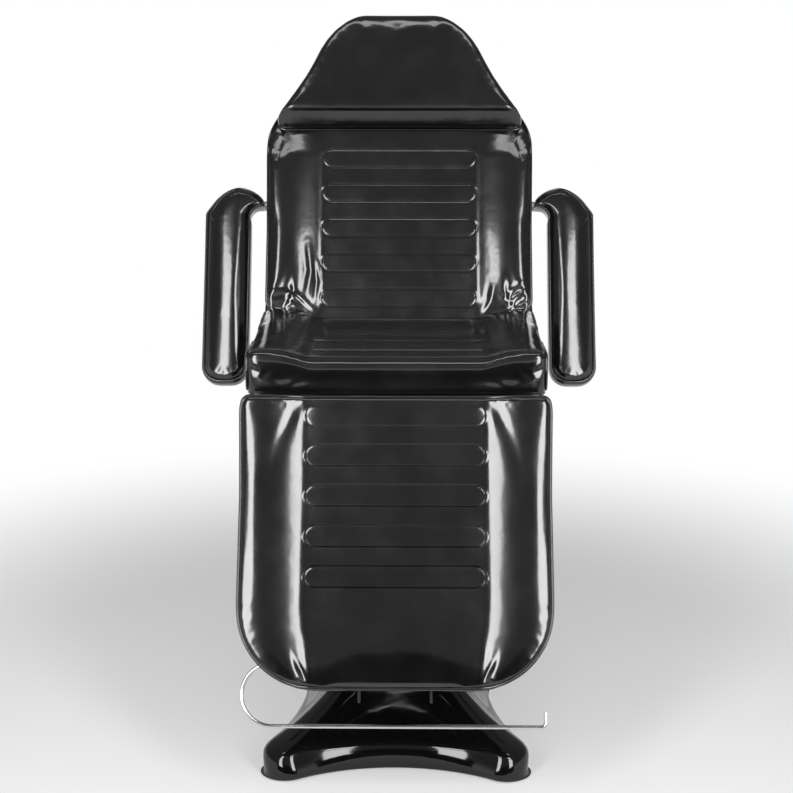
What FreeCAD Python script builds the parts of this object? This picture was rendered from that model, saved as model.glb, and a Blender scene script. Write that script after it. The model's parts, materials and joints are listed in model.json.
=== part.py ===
import FreeCAD, Part
import math
import os

# Hydraulic tattoo chair, millimetres. X runs across the chair, its front faces -Y, Z is up.
# The origin is on the floor, on the axis of the lift column. Everything is at the height and
# angles of a raised chair with a hanging leg rest and an almost upright backrest.

# Angles of the rest position, from the level chair
LEG_HANG_DEGREES = 68.2
BACK_RISE_DEGREES = 65.1

# Pads
SEAT_TOP = 836.0
PAD_THICK = 68.0
SEAT_FRONT = 231.0
SEAT_DEPTH = 447.7
SEAT_HALF = 300.0
LEG_HALF = 303.0
LEG_LENGTH = 566.0
LEG_CORNER = 152.0
BACK_HALF = 302.0
BACK_LENGTH = 727.0
HEAD_LENGTH = 273.0
HEAD_THICK = 52.0
HEAD_MARGIN = 8.0
HEAD_ROLL = 38.0
HEAD_END_ROLL = 22.0
PAD_EDGE = 17.0
PAD_ROLL = 18.0
PAD_TUCK = 5.0
PAD_WAIST = 3.0
PANEL_HALF = 178.0
BOLSTER_RISE = 18.0
BOLSTER_FADE = 60.0
PAD_GAP = 1.5
RAMP_CROWN = 0.08
FLAT_CROWN = 0.05
PAD_SEAT = 0.3

# Sewn pills on the leg rest and backrest
PILL_COUNT = 5
PILL_LENGTH = 348.0
PILL_HEIGHT = 41.0
PILL_RISE = 2.2
PILL_SLOPE = 2.0
LEG_PILL_PITCH = 77.6
LEG_PILL_FIRST = 42.7
BACK_PILL_PITCH = 80.9
BACK_PILL_FIRST = 61.3
SEW_WIDTH = 5.0
SEW_DEPTH = 2.0
SEAT_SEAM_COUNT = 4

# Boards in the undersides of the pads
BOARD_THICK = 12.0
BOARD_MARGIN = 24.0
BOARD_START = 42.0

# Frames: square tube and plate
TUBE = 25.0
TUBE_WALL = 2.0
SEAT_RAIL_X = 220.0
SEAT_RAIL_FRONT = 205.0
SEAT_RAIL_SHORT = 48.7
CROSSBAR_Y = 95.0
LEG_RAIL_X = 225.5
LEG_RAIL_START = 20.0
LEG_RAIL_SHORT = 61.0
LEG_BAR_FIRST = 42.5
LEG_BAR_LAST = 32.5
BACK_RAIL_X = 255.0
BACK_RAIL_START = 22.0
BACK_RAIL_SHORT = 152.0
BACK_RAIL_SHARE = 0.8
BACK_BAR_FIRST = 37.5
EAR_THICK = 5.0
EAR_GAP = 0.5
EAR_RADIUS = 13.0
EAR_POCKET_RISE = 24.0
EAR_POCKET_INNER = 2.5
EAR_POCKET_OUTER = 1.5
PIN_HEAD_SHARE = 0.5
BACK_PIN_R = 5.0
LEG_PIN_R = 4.0
LEG_EAR_RADIUS = 7.0
RUNNING_GAP = 0.05
LEG_HINGE_DROP = 76.0
STUB_LENGTH = 29.5

# Lift column
LIFT_TRAVEL = 140.0
PLATE_HALF = 110.0
PLATE_THICK = 8.0
CYLINDER_R = 45.0
RAM_R = 25.0
SPINDLE_R = 15.0
SPINDLE_LENGTH = 85.0
WASHER_THICK = 4.0
GLAND_R = 52.0
GLAND_HEIGHT = 26.0
CYLINDER_CLEAR = 20.0
RAM_OVERLAP = 120.0
FLANGE_R = 80.0
FLANGE_THICK = 10.0
FLANGE_BOLT_PITCH_R = 66.0
BOLT_R = 4.0
BOLT_HEAD_R = 6.5
BOLT_HEAD_HEIGHT = 5.5
HEX_SIDES = 6
FLANGE_BOLTS = 4
PLATE_BOLT_INSET = 18.75
GLAND_FILLET = 5.2

# Base
BASE_FOOT_X = 230.0
BASE_FOOT_Y = 320.0
BASE_FOOT_R = 45.0
BASE_SKIRT_HEIGHT = 50.0
BASE_RIM_Z = 3.0
BASE_WALL = 4.0
BOSS_SHARE = 0.80
BASE_NECK_Z = 232.0
PAD_FOOT_R = 20.0
PAD_FOOT_HEIGHT = 12.0
BASE_PLATE_HALF = 105.0
BASE_PLATE_THICK = 10.0
BASE_ARM_WIDTH = 40.0
BASE_ARM_HEIGHT = 18.0
PEDAL_SLOT_HALF = 24.0

# Foot pedal
PEDAL_PIVOT_Y = 150.0
PEDAL_PIVOT_Z = 62.0
PEDAL_REACH = 262.0
PEDAL_TILT = 5.0
PEDAL_WIDTH = 22.0
PEDAL_THICK = 10.0
PEDAL_PAD_LENGTH = 62.0
PEDAL_PAD_WIDTH = 78.0
PEDAL_PAD_THICK = 9.0
PEDAL_PIN_R = 6.0
PEDAL_GROOVES = 4
PEDAL_SLOT_LOW = 12.5
PEDAL_SLOT_TOP = 110.0

# Armrests
SPINDLE_PLACE = 298.0
ARM_SPINDLE_R = 6.0
ARM_IN = 334.0
ARM_WIDTH = 108.0
ARM_LOW = 133.0
ARM_TOP = 326.0
ARM_THICK = 60.0
ARM_CORNER = 42.0
ARM_EDGE = 17.0
ARM_BAR_WIDTH = 30.0
ARM_BAR_THICK = 6.0
ARM_BUSH_R = 11.0
ARM_BUSH_START = 322.0
ARM_BUSH_END = 387.0

# Paper roll holder
ROLL_ROD_R = 4.0
ROLL_INSIDE = 49.0
ROLL_DEPTH = 90.0
ROLL_LOOP_R = 60.0
ROLL_LEFT = 238.5
ROLL_RIGHT = 292.0
ROLL_HOOK = 28.0
ROLL_HOOK_BEND = 9.0
ROLL_ARM_END = 96.0
ROLL_PLATE_X = 70.0
ROLL_PLATE_THICK = 5.0
ROLL_PLATE_PAST = 26.0
LOCK_COLLAR_R = 8.0
LOCK_COLLAR_WIDTH = 12.0
LOCK_STEM_TOP = 6.0
LOCK_STEM_LOW = 20.0
LOCK_KNOB_TOP = 16.0
LOCK_KNOB_LOW = 24.0
LOCK_KNOB_R = 5.0

# Gas springs between the seat crossbar and the two moving sections
SPRING_X = 140.0
SPRING_ANCHOR_Y = 75.0
SPRING_ANCHOR_Z = 692.0
LEG_SPRING_PIN = (-35.0, -35.0)
BACK_SPRING_PIN = (-5.0, -70.0)
LEG_SPRING_TAKE_UP = (0.366, 0.890)
BACK_SPRING_TAKE_UP = (0.470, -0.479)
SPRING_PIN_R = 4.0
SPRING_MISS = 6.5
SPRING_TUBE_R = 9.0
SPRING_ROD_R = 4.0
SPRING_TUBE_WALL = 2.0
SPRING_GLAND = 15.0
SPRING_EYE_R = 15.0
SPRING_EYE_WIDTH = 12.0
SPRING_NECK = 20.0
LEG_SPRING_TUBE_SHARE = 0.74697
BACK_SPRING_TUBE_SHARE = 0.49506
SPRING_ROD_DEPTH = 38.0
SPRING_HEAD_HALF = 10.0
SPRING_HEAD_REACH = 40.0
SPRING_PISTON = 10.0
LEG_STROKE = 56.0
ANCHOR_EAR_R = 12.0
MOVING_EAR_R = 11.5

# Release levers on the gas-spring heads
LEVER_ROD_R = 4.0
LEVER_REACH = 285.0
LEVER_GRIP_R = 8.0
LEVER_GRIP_LENGTH = 44.0
LEVER_GRIP_BEVEL = 2.5
LEVER_HUB_R = 7.0
LEVER_HUB_WIDTH = 8.0
LEVER_LUG_THICK = 4.0
LEVER_PIN_R = 2.0

# Small values shared by every piece
OVERRUN = 1.0
SCREW_R = 2.5
SCREW_HEAD_R = 5.0
SCREW_HEAD_HEIGHT = 2.5
SEAT_SCREW_Y = 142.5

# The backrest outline, as shares of its length and of its half width
BACK_OUTLINE_SHARES = (
    (0.000, 1.000), (0.080, 0.992), (0.300, 0.990), (0.520, 1.000), (0.590, 1.000), (0.622, 0.988),
    (0.655, 0.950), (0.690, 0.893), (0.735, 0.817), (0.785, 0.741), (0.830, 0.684), (0.872, 0.635),
    (0.905, 0.585), (0.935, 0.525), (0.960, 0.452), (0.980, 0.372), (0.993, 0.300), (1.000, 0.245),
)
# Levels of the base cover: height, reach across and along, how far the sides and the front are
# drawn in between the feet, corner radius
BASE_LEVEL_SHARES = (
    (0.000, 1.000, 1.000, 0.265, 0.162, 1.000), (0.190, 0.976, 0.982, 0.265, 0.162, 1.000),
    (0.225, 0.952, 0.960, 0.267, 0.163, 0.960), (0.255, 0.905, 0.926, 0.268, 0.165, 0.920),
    (0.305, 0.800, 0.846, 0.262, 0.160, 0.860), (0.390, 0.660, 0.722, 0.230, 0.148, 0.820),
    (0.520, 0.500, 0.560, 0.165, 0.115, 0.820), (0.680, 0.375, 0.385, 0.090, 0.070, 0.860),
    (0.840, 0.305, 0.268, 0.045, 0.035, 0.960), (1.000, 0.278, 0.218, 0.020, 0.020, 1.150),
)
SEAT_WAIST_SHARES = ((0.25, 0.8), (0.50, 1.0), (0.75, 0.8))
LEG_WAIST_SHARES = ((0.20, 0.57), (0.35, 1.0), (0.50, 0.57))
NOSE_TURN_SHARES = (0.22, 0.45, 0.70, 1.0)
NOSE_TUCK_SHARE = 0.4
HEAD_TUCK_SHARE = 0.5
# The rounded edge of a pad: most of the thickness and width that it takes, and its middle points
EDGE_MOST_SHARE = 0.45
PANEL_MOST_SHARE = 0.62
SHOULDER_TUCK_SHARE = 0.3
CURL_IN_SHARE = 0.3
CURL_UP_SHARE = 0.72
RAMP_UP_SHARE = 0.66
# The armrest's head seen square on: across from the inner side and down from the top as shares of
# the width, then how far the edge pulls each point across and along, as shares of the inset
ARM_HEAD_SHARES = {
    "shoulder": (1.000, 0.600, -1.000, -0.600),
    "shoulder middle": (0.975, 0.530, -1.000, -0.600),
    "corner": (0.900, 0.460, -0.900, -0.600),
    "outer middle": (0.612, 0.138, -0.468, -0.880),
    "crown": (0.300, 0.000, 0.000, -1.000),
    "inner middle": (-0.024, 0.096, 0.174, -0.840),
    "horn top": (-0.259, 0.300, 0.300, -0.500),
    "horn low": (-0.259, 0.460, 0.300, 0.000),
    "neck middle": (-0.050, 0.510, 1.000, 0.000),
    "neck": (0.000, 0.760, 1.000, 0.000),
}
# The armrest's crown from back to front: share of its thickness, share of the edge drawn in
ARM_CROWN_SHARES = ((0.00, 0.36), (0.06, 0.10), (0.30, 0.0), (0.62, 0.06), (0.84, 0.40), (1.00, 1.15))
ARM_BAR_SHARE = 0.6
LEG_SCREW_SHARES = (0.30, 0.80)
BACK_SCREW_SHARES = (0.27, 0.72)
ROLL_STEPS = 4
CORNER_STEPS = 7

# Places worked out from the sizes above
PAD_BOTTOM = SEAT_TOP - PAD_THICK
LEG_HINGE = (-SEAT_FRONT, SEAT_TOP - LEG_HINGE_DROP)
NOSE_R = PAD_THICK / 2
# The backrest turns about the centre of its rolled lower end, which lies behind the seat pad
SEAT_REAR = -SEAT_FRONT + PAD_GAP + SEAT_DEPTH
BACK_HINGE = (SEAT_REAR + PAD_GAP + NOSE_R, SEAT_TOP - NOSE_R)
HEAD_START = BACK_LENGTH - HEAD_LENGTH
SEAT_RAIL_REAR = BACK_HINGE[0] - SEAT_RAIL_SHORT
LEG_RAIL_END = LEG_LENGTH - LEG_RAIL_SHORT
BACK_RAIL_END = BACK_LENGTH - BACK_RAIL_SHORT
ARM_OUT = ARM_IN + ARM_WIDTH
ROLL_PLACE = LEG_LENGTH - ROLL_INSIDE
ROLL_PLATE_END = LEG_LENGTH + ROLL_PLATE_PAST
RAIL_BOTTOM = PAD_BOTTOM - TUBE
PLATE_BOTTOM = RAIL_BOTTOM - PLATE_THICK
RAM_TOP = PLATE_BOTTOM - WASHER_THICK
CYLINDER_TOP = RAM_TOP - LIFT_TRAVEL - CYLINDER_CLEAR
BASE_PLATE_TOP = PAD_FOOT_HEIGHT + BASE_PLATE_THICK


def point(x, y, z):
    return FreeCAD.Vector(x, y, z)


def box(x0, x1, y0, y1, z0, z1):
    """A box between two corners."""
    return Part.makeBox(x1 - x0, y1 - y0, z1 - z0, point(x0, y0, z0))


def rod_x(x0, x1, y, z, r):
    """A round bar along X."""
    return Part.makeCylinder(r, x1 - x0, point(x0, y, z), point(1, 0, 0))


def rod_y(y0, y1, x, z, r):
    """A round bar along Y."""
    return Part.makeCylinder(r, y1 - y0, point(x, y0, z), point(0, 1, 0))


def rod_z(z0, z1, x, y, r):
    """An upright round bar."""
    return Part.makeCylinder(r, z1 - z0, point(x, y, z0), point(0, 0, 1))


def mirrored(shape):
    """The same piece on the chair's other side."""
    return shape.mirror(point(0, 0, 0), point(1, 0, 0))


def both_sides(shape):
    return [shape, mirrored(shape)]


def turned(shape, place, degrees):
    """The shape turned about a hinge along X at a (y, z) place."""
    return shape.rotated(point(0, place[0], place[1]), point(1, 0, 0), degrees)


def hung(shape):
    """A leg-rest piece, drawn level, brought to its hanging angle."""
    return turned(shape, LEG_HINGE, LEG_HANG_DEGREES)


def raised(shape):
    """A backrest piece, drawn level, brought to its raised angle."""
    return turned(shape, BACK_HINGE, BACK_RISE_DEGREES)


def turned_place(place, degrees):
    """A (y, z) offset turned about X."""
    a = math.radians(degrees)
    return (
        place[0] * math.cos(a) - place[1] * math.sin(a),
        place[0] * math.sin(a) + place[1] * math.cos(a),
    )


def save(name, *shapes):
    """Writes the solids of one node."""
    solids = [solid for shape in shapes for solid in shape.Solids]
    whole = solids[0] if len(solids) == 1 else Part.makeCompound(solids)
    whole.exportStep(f"parts/{name}.step")


# Pads


def pad_section(y, half, low, top, rise, panel):
    """One slice of a pad: flat base, tucked sides, rounded edges, bolsters and a flat panel."""
    thick = top - low
    edge = min(PAD_EDGE, EDGE_MOST_SHARE * thick)
    panel = min(panel, PANEL_MOST_SHARE * (half - edge))
    crown = RAMP_CROWN * rise + FLAT_CROWN
    side_top = top + rise - edge
    side_mid = (low + side_top) / 2
    ramp_x = (half - edge + panel) / 2
    base = (half - PAD_TUCK, low)
    belly = (half, side_mid)
    shoulder = (half - SHOULDER_TUCK_SHARE * PAD_TUCK, side_top)
    curl = (half - CURL_IN_SHARE * edge, side_top + CURL_UP_SHARE * edge)
    bolster = (half - edge, top + rise)
    ramp = (ramp_x, top + RAMP_UP_SHARE * rise + crown)
    inner = (panel, top)

    def at(place, side):
        return point(side * place[0], y, place[1])

    def arc(a, b, c, side):
        return Part.Arc(at(a, side), at(b, side), at(c, side)).toShape()

    right = [arc(base, belly, shoulder, 1), arc(shoulder, curl, bolster, 1), arc(bolster, ramp, inner, 1)]
    left = [arc(inner, ramp, bolster, -1), arc(bolster, curl, shoulder, -1), arc(shoulder, belly, base, -1)]
    across = Part.makeLine(at(inner, 1), at(inner, -1))
    under = Part.makeLine(at(base, -1), at(base, 1))
    return Part.Wire(right + [across] + left + [under])


def roll_steps(radius, steps=ROLL_STEPS):
    """(distance from the end, drop) pairs round a quarter circle, from the end inwards."""
    angles = [math.pi / 2 * k / steps for k in range(steps + 1)]
    return [(radius * (1 - math.cos(a)), radius * (1 - math.sin(a))) for a in angles]


def loft(sections):
    return Part.makeLoft([pad_section(*s) for s in sections], True, True)


def pill(place, top):
    """One sewn pill: a stadium with sloping sides that stands a little proud of the panel."""

    def outline(z, shrink):
        r = PILL_HEIGHT / 2 - shrink
        x = (PILL_LENGTH - PILL_HEIGHT) / 2
        edges = [
            Part.makeLine(point(-x, place - r, z), point(x, place - r, z)),
            Part.Arc(point(x, place - r, z), point(x + r, place, z), point(x, place + r, z)).toShape(),
            Part.makeLine(point(x, place + r, z), point(-x, place + r, z)),
            Part.Arc(point(-x, place + r, z), point(-x - r, place, z), point(-x, place - r, z)).toShape(),
        ]
        return Part.Wire(edges)

    return Part.makeLoft([outline(top - OVERRUN, 0), outline(top + PILL_RISE, PILL_SLOPE)], True, True)


def with_pills(pad, first, pitch, top):
    pills = [pill(first + pitch * k, top) for k in range(PILL_COUNT)]
    return pad.multiFuse(pills)


def seat_shape():
    """Seat pad, level: rolled front and rear edges, slightly waisted sides."""
    low = PAD_BOTTOM
    front = -SEAT_FRONT + PAD_GAP
    depth = SEAT_REAR - front
    sections = []
    for distance, drop in roll_steps(PAD_ROLL):
        half, top = SEAT_HALF - drop, SEAT_TOP - drop
        sections.append((front + distance, half, low, top, BOLSTER_RISE, PANEL_HALF))
    for share, waist in SEAT_WAIST_SHARES:
        half = SEAT_HALF - PAD_WAIST * waist
        sections.append((front + depth * share, half, low, SEAT_TOP, BOLSTER_RISE, PANEL_HALF))
    for distance, drop in reversed(roll_steps(PAD_ROLL)):
        half, top = SEAT_HALF - drop, SEAT_TOP - drop
        sections.append((SEAT_REAR - distance, half, low, top, BOLSTER_RISE, PANEL_HALF))
    pad = loft(sections)
    for k in range(SEAT_SEAM_COUNT):
        y = front + depth * (k + 1) / (SEAT_SEAM_COUNT + 1)
        seam = rod_x(-PANEL_HALF, PANEL_HALF, y, SEAT_TOP + SEW_WIDTH / 2 - SEW_DEPTH, SEW_WIDTH / 2)
        pad = pad.cut(seam)
    return pad


def leg_half(distance):
    """Half width of the leg rest at a distance from its foot end: a large round corner."""
    if distance >= LEG_CORNER:
        return LEG_HALF
    return LEG_HALF - LEG_CORNER + math.sqrt(LEG_CORNER**2 - (LEG_CORNER - distance) ** 2)


def leg_shape():
    """Leg-rest pad, level: square at the seat, with large round corners at the foot end."""
    low = PAD_BOTTOM
    hinge = LEG_HINGE[0]
    stations = []
    for distance, drop in roll_steps(PAD_ROLL):
        stations.append((PAD_GAP + distance, LEG_HALF - drop, drop))
    for share, waist in LEG_WAIST_SHARES:
        stations.append((LEG_LENGTH * share, LEG_HALF - PAD_WAIST * waist, 0))
    for distance, _ in reversed(roll_steps(LEG_CORNER, CORNER_STEPS)):
        inside = max(PAD_ROLL - distance, 0)
        drop = PAD_ROLL - math.sqrt(PAD_ROLL**2 - inside**2)
        stations.append((LEG_LENGTH - distance, leg_half(distance), drop))
    sections = [
        (hinge - reach, half, low, SEAT_TOP - drop, BOLSTER_RISE * min(1, half / LEG_HALF), PANEL_HALF)
        for reach, half, drop in stations
    ]
    pad = loft(sections)
    return with_pills(pad, hinge - LEG_PILL_FIRST, -LEG_PILL_PITCH, SEAT_TOP)


def back_half(reach):
    """Half width of the backrest at a distance from its hinge, from the outline's shares."""
    share = min(max(reach / BACK_LENGTH, 0), 1)
    for (s0, w0), (s1, w1) in zip(BACK_OUTLINE_SHARES, BACK_OUTLINE_SHARES[1:]):
        if share <= s1:
            return BACK_HALF * (w0 + (w1 - w0) * (share - s0) / (s1 - s0))
    return BACK_HALF * BACK_OUTLINE_SHARES[-1][1]


def back_bolster(reach):
    """The bolsters grow out of the rolled lower end and run out below the headrest."""
    grow = min(max(reach / BOLSTER_FADE, 0), 1)
    fade = min(max((HEAD_START - reach) / BOLSTER_FADE, 0), 1)
    return BOLSTER_RISE * grow * fade


def nose_cut():
    """The pockets in the pad's lower end for the hinge ears."""
    x0 = BACK_RAIL_X + TUBE / 2 - EAR_THICK - EAR_POCKET_INNER
    x1 = BACK_RAIL_X + TUBE / 2 + EAR_THICK + EAR_POCKET_OUTER
    y0 = BACK_HINGE[0] - NOSE_R - OVERRUN
    y1 = BACK_HINGE[0] + NOSE_R + EAR_GAP
    z0 = BACK_HINGE[1] - NOSE_R - OVERRUN
    z1 = BACK_HINGE[1] + EAR_POCKET_RISE
    return box(x0, x1, y0, y1, z0, z1)


def back_shape():
    """Backrest pad, level: half-round lower end about the hinge, shoulders and tapered top."""
    hinge_y, hinge_z = BACK_HINGE
    sections = []
    for share in NOSE_TURN_SHARES:
        a = math.pi / 2 * share
        reach = -NOSE_R * math.cos(a)
        rise = NOSE_R * math.sin(a)
        tuck = NOSE_TUCK_SHARE * NOSE_R * (1 - math.sin(a))
        sections.append((hinge_y + reach, BACK_HALF - tuck, hinge_z - rise, hinge_z + rise, 0, PANEL_HALF))
    reaches = [BOLSTER_FADE] + [BACK_LENGTH * s for s, _ in BACK_OUTLINE_SHARES[2:-1]]
    reaches += [HEAD_START - BOLSTER_FADE, HEAD_START]
    for reach in sorted(reaches):
        sections.append(
            (hinge_y + reach, back_half(reach), PAD_BOTTOM, SEAT_TOP, back_bolster(reach), PANEL_HALF)
        )
    last = BACK_LENGTH
    sections.append((hinge_y + last, back_half(last), PAD_BOTTOM, SEAT_TOP, 0, PANEL_HALF))
    pad = loft(sections)
    pad = with_pills(pad, hinge_y + BACK_PILL_FIRST, BACK_PILL_PITCH, SEAT_TOP)
    return pad.cut(nose_cut()).cut(mirrored(nose_cut()))


def head_shape():
    """Headrest pad on the backrest's tapered top, with a large roll at its lower edge."""
    start = HEAD_START
    end = BACK_LENGTH - HEAD_MARGIN
    low = SEAT_TOP + PAD_SEAT
    top = SEAT_TOP + HEAD_THICK
    sections = []
    for distance, drop in roll_steps(HEAD_ROLL):
        reach = start + distance
        tuck = HEAD_MARGIN + HEAD_TUCK_SHARE * drop
        sections.append((BACK_HINGE[0] + reach, back_half(reach) - tuck, low, top - drop, 0, PANEL_HALF))
    inner = [BACK_LENGTH * s for s, _ in BACK_OUTLINE_SHARES]
    for reach in inner:
        if start + HEAD_ROLL + PAD_ROLL < reach < end - HEAD_END_ROLL - OVERRUN:
            half = back_half(reach) - HEAD_MARGIN
            sections.append((BACK_HINGE[0] + reach, half, low, top, 0, PANEL_HALF))
    for distance, drop in reversed(roll_steps(HEAD_END_ROLL)):
        reach = end - distance
        half = back_half(reach) - HEAD_MARGIN
        sections.append((BACK_HINGE[0] + reach, half, low, top - drop, 0, PANEL_HALF))
    return loft(sections)


def board_outline(stations, z0):
    """A plywood board from (y, half width) stations."""
    right = [point(half, y, z0) for y, half in stations]
    left = [point(-half, y, z0) for y, half in reversed(stations)]
    outline = Part.makePolygon(right + left + [right[0]])
    return Part.Face(outline).extrude(point(0, 0, BOARD_THICK))


def seat_board_shape():
    half = SEAT_HALF - BOARD_MARGIN
    front = -SEAT_FRONT + BOARD_MARGIN
    rear = SEAT_REAR - BOARD_MARGIN
    return board_outline([(front, half), (rear, half)], PAD_BOTTOM)


def leg_board_shape():
    stations = [(LEG_HINGE[0] - BOARD_START, LEG_HALF - BOARD_MARGIN)]
    for distance, _ in reversed(roll_steps(LEG_CORNER - BOARD_MARGIN, CORNER_STEPS)):
        inset = LEG_CORNER - BOARD_MARGIN
        half = LEG_HALF - LEG_CORNER + math.sqrt(max(inset**2 - (inset - distance) ** 2, 0))
        stations.append((LEG_HINGE[0] - LEG_LENGTH + BOARD_MARGIN + distance, half))
    return board_outline(stations, PAD_BOTTOM)


def back_board_shape():
    stations = [(BACK_HINGE[0] + BOARD_START, BACK_HALF - BOARD_MARGIN)]
    for share, _ in BACK_OUTLINE_SHARES[2:-2]:
        reach = BACK_LENGTH * share
        stations.append((BACK_HINGE[0] + reach, back_half(reach) - BOARD_MARGIN))
    return board_outline(stations, PAD_BOTTOM)


def make_pads():
    """Each pad wraps its board, which lies flush in the pad's underside."""
    seat_board = seat_board_shape()
    leg_board = leg_board_shape()
    back_board = back_board_shape()
    save("seat_cushion", seat_shape().cut(seat_board))
    save("seat_board", seat_board)
    save("leg_cushion", hung(leg_shape().cut(leg_board)))
    save("leg_board", hung(leg_board))
    save("back_cushion", raised(back_shape().cut(back_board)))
    save("back_board", raised(back_board))
    save("headrest_cushion", raised(head_shape()))


# Frames


def tube_y(x, y0, y1, top):
    """Square tube along Y with its top face at a height."""
    outer = box(x - TUBE / 2, x + TUBE / 2, y0, y1, top - TUBE, top)
    half = TUBE / 2 - TUBE_WALL
    low, high = top - TUBE + TUBE_WALL, top - TUBE_WALL
    return outer.cut(box(x - half, x + half, y0 - OVERRUN, y1 + OVERRUN, low, high))


def tube_x(x0, x1, y, top):
    """Square tube along X with its top face at a height."""
    outer = box(x0, x1, y - TUBE / 2, y + TUBE / 2, top - TUBE, top)
    half = TUBE / 2 - TUBE_WALL
    low, high = top - TUBE + TUBE_WALL, top - TUBE_WALL
    return outer.cut(box(x0 - OVERRUN, x1 + OVERRUN, y - half, y + half, low, high))


def ear(x0, thick, root0, root1, eye, radius, hole):
    """A plate across X that runs from a root edge to a round eye with a hole."""
    mid = ((root0[0] + root1[0]) / 2, (root0[1] + root1[1]) / 2)
    dy, dz = eye[0] - mid[0], eye[1] - mid[1]
    length = math.hypot(dy, dz)
    side = (-dz / length * radius, dy / length * radius)
    cross = (root1[0] - root0[0]) * side[0] + (root1[1] - root0[1]) * side[1]
    first, last = (root0, root1) if cross < 0 else (root1, root0)
    corners = [first, last, (eye[0] - side[0], eye[1] - side[1]), (eye[0] + side[0], eye[1] + side[1])]
    points = [point(x0, *c) for c in corners]
    web = Part.Face(Part.makePolygon(points + [points[0]])).extrude(point(thick, 0, 0))
    plate = web.fuse(rod_x(x0, x0 + thick, *eye, radius)).removeSplitter()
    return plate.cut(rod_x(x0 - OVERRUN, x0 + thick + OVERRUN, *eye, hole))


def spring_bracket(x):
    """Two ears under the seat crossbar with the welded pin that carries a gas-spring head."""
    eye = (SPRING_ANCHOR_Y, SPRING_ANCHOR_Z)
    root0 = (CROSSBAR_Y - TUBE / 2, RAIL_BOTTOM)
    root1 = (CROSSBAR_Y + TUBE / 2, RAIL_BOTTOM)
    gap = SPRING_HEAD_HALF + EAR_GAP
    pieces = [rod_x(x - gap - EAR_THICK, x + gap + EAR_THICK, *eye, SPRING_PIN_R)]
    for x0 in (x - gap - EAR_THICK, x + gap):
        pieces.append(ear(x0, EAR_THICK, root0, root1, eye, ANCHOR_EAR_R, SPRING_PIN_R / 2))
    return pieces[0].fuse(pieces[1:]).removeSplitter()


def make_seat_frame():
    rail = tube_y(SEAT_RAIL_X, -SEAT_RAIL_FRONT, SEAT_RAIL_REAR + TUBE, PAD_BOTTOM)
    inner = SEAT_RAIL_X - TUBE / 2
    outer = SEAT_RAIL_X + TUBE / 2
    crossbars = [tube_x(-inner, inner, y, PAD_BOTTOM) for y in (-CROSSBAR_Y, CROSSBAR_Y)]
    stub = tube_x(outer, outer + STUB_LENGTH, SEAT_RAIL_REAR + TUBE / 2, PAD_BOTTOM)
    front_root0 = (-SEAT_RAIL_FRONT + 2 * TUBE, PAD_BOTTOM)
    front_root1 = (-SEAT_RAIL_FRONT + 2 * TUBE, RAIL_BOTTOM)
    front = ear(outer, EAR_THICK, front_root0, front_root1, LEG_HINGE, LEG_EAR_RADIUS, LEG_PIN_R)
    rear_root0 = (SEAT_RAIL_REAR + TUBE / 4, RAIL_BOTTOM)
    rear_root1 = (SEAT_RAIL_REAR + TUBE, RAIL_BOTTOM)
    rear_x = outer + STUB_LENGTH
    rear = ear(rear_x, EAR_THICK, rear_root0, rear_root1, BACK_HINGE, EAR_RADIUS, BACK_PIN_R)
    save("seat_rails", *both_sides(rail))
    save("seat_crossbars", *crossbars)
    save("leg_hinge_ears", *both_sides(front))
    save("back_hinge_brackets", *both_sides(stub.fuse(rear)))
    save("spring_brackets", *both_sides(spring_bracket(SPRING_X)))


def headed_pin(x0, x1, place, radius):
    """A hinge pin with a head on its outer end."""
    head = rod_x(x1, x1 + PIN_HEAD_SHARE * radius, *place, radius * (1 + PIN_HEAD_SHARE))
    return rod_x(x0, x1, *place, radius).fuse(head).removeSplitter()


def make_hinge_pins():
    outer = SEAT_RAIL_X + TUBE / 2
    leg_end = outer + 2 * EAR_THICK + EAR_GAP + EAR_GAP
    leg = headed_pin(outer, leg_end, LEG_HINGE, LEG_PIN_R)
    rear_x = outer + STUB_LENGTH
    back_end = rear_x + 2 * EAR_THICK + EAR_GAP
    back = rod_x(rear_x - EAR_GAP, back_end + EAR_GAP, *BACK_HINGE, BACK_PIN_R)
    save("hinge_pins", *both_sides(leg), *both_sides(back))


def make_leg_frame():
    hinge_y, hinge_z = LEG_HINGE
    outer = LEG_RAIL_X + TUBE / 2
    rail = tube_y(LEG_RAIL_X, hinge_y - LEG_RAIL_END, hinge_y - LEG_RAIL_START, PAD_BOTTOM)
    inner = LEG_RAIL_X - TUBE / 2
    bars = (LEG_RAIL_START + LEG_BAR_FIRST, LEG_RAIL_END / 2, LEG_RAIL_END - LEG_BAR_LAST)
    crossbars = [tube_x(-inner, inner, hinge_y - reach, PAD_BOTTOM) for reach in bars]
    root0 = (hinge_y - LEG_RAIL_START - 2 * TUBE, PAD_BOTTOM)
    root1 = (hinge_y - LEG_RAIL_START - 2 * TUBE, PAD_BOTTOM - TUBE)
    plate = ear(outer, EAR_THICK, root0, root1, LEG_HINGE, LEG_EAR_RADIUS, LEG_PIN_R + RUNNING_GAP)
    save("leg_rails", *[hung(s) for s in both_sides(rail)])
    save("leg_crossbars", *[hung(s) for s in crossbars])
    save("leg_ears", *[hung(s) for s in both_sides(plate)])
    # The bracket of the leg gas spring hangs from the crossbar next to the hinge
    eye = (hinge_y + LEG_SPRING_PIN[0], hinge_z + LEG_SPRING_PIN[1])
    bar_y = hinge_y - bars[0]
    roots = ((bar_y - TUBE / 2, PAD_BOTTOM - TUBE), (bar_y + TUBE / 2, PAD_BOTTOM - TUBE))
    save("leg_spring_bracket", hung(moving_bracket(-SPRING_X, roots, eye)))


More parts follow.
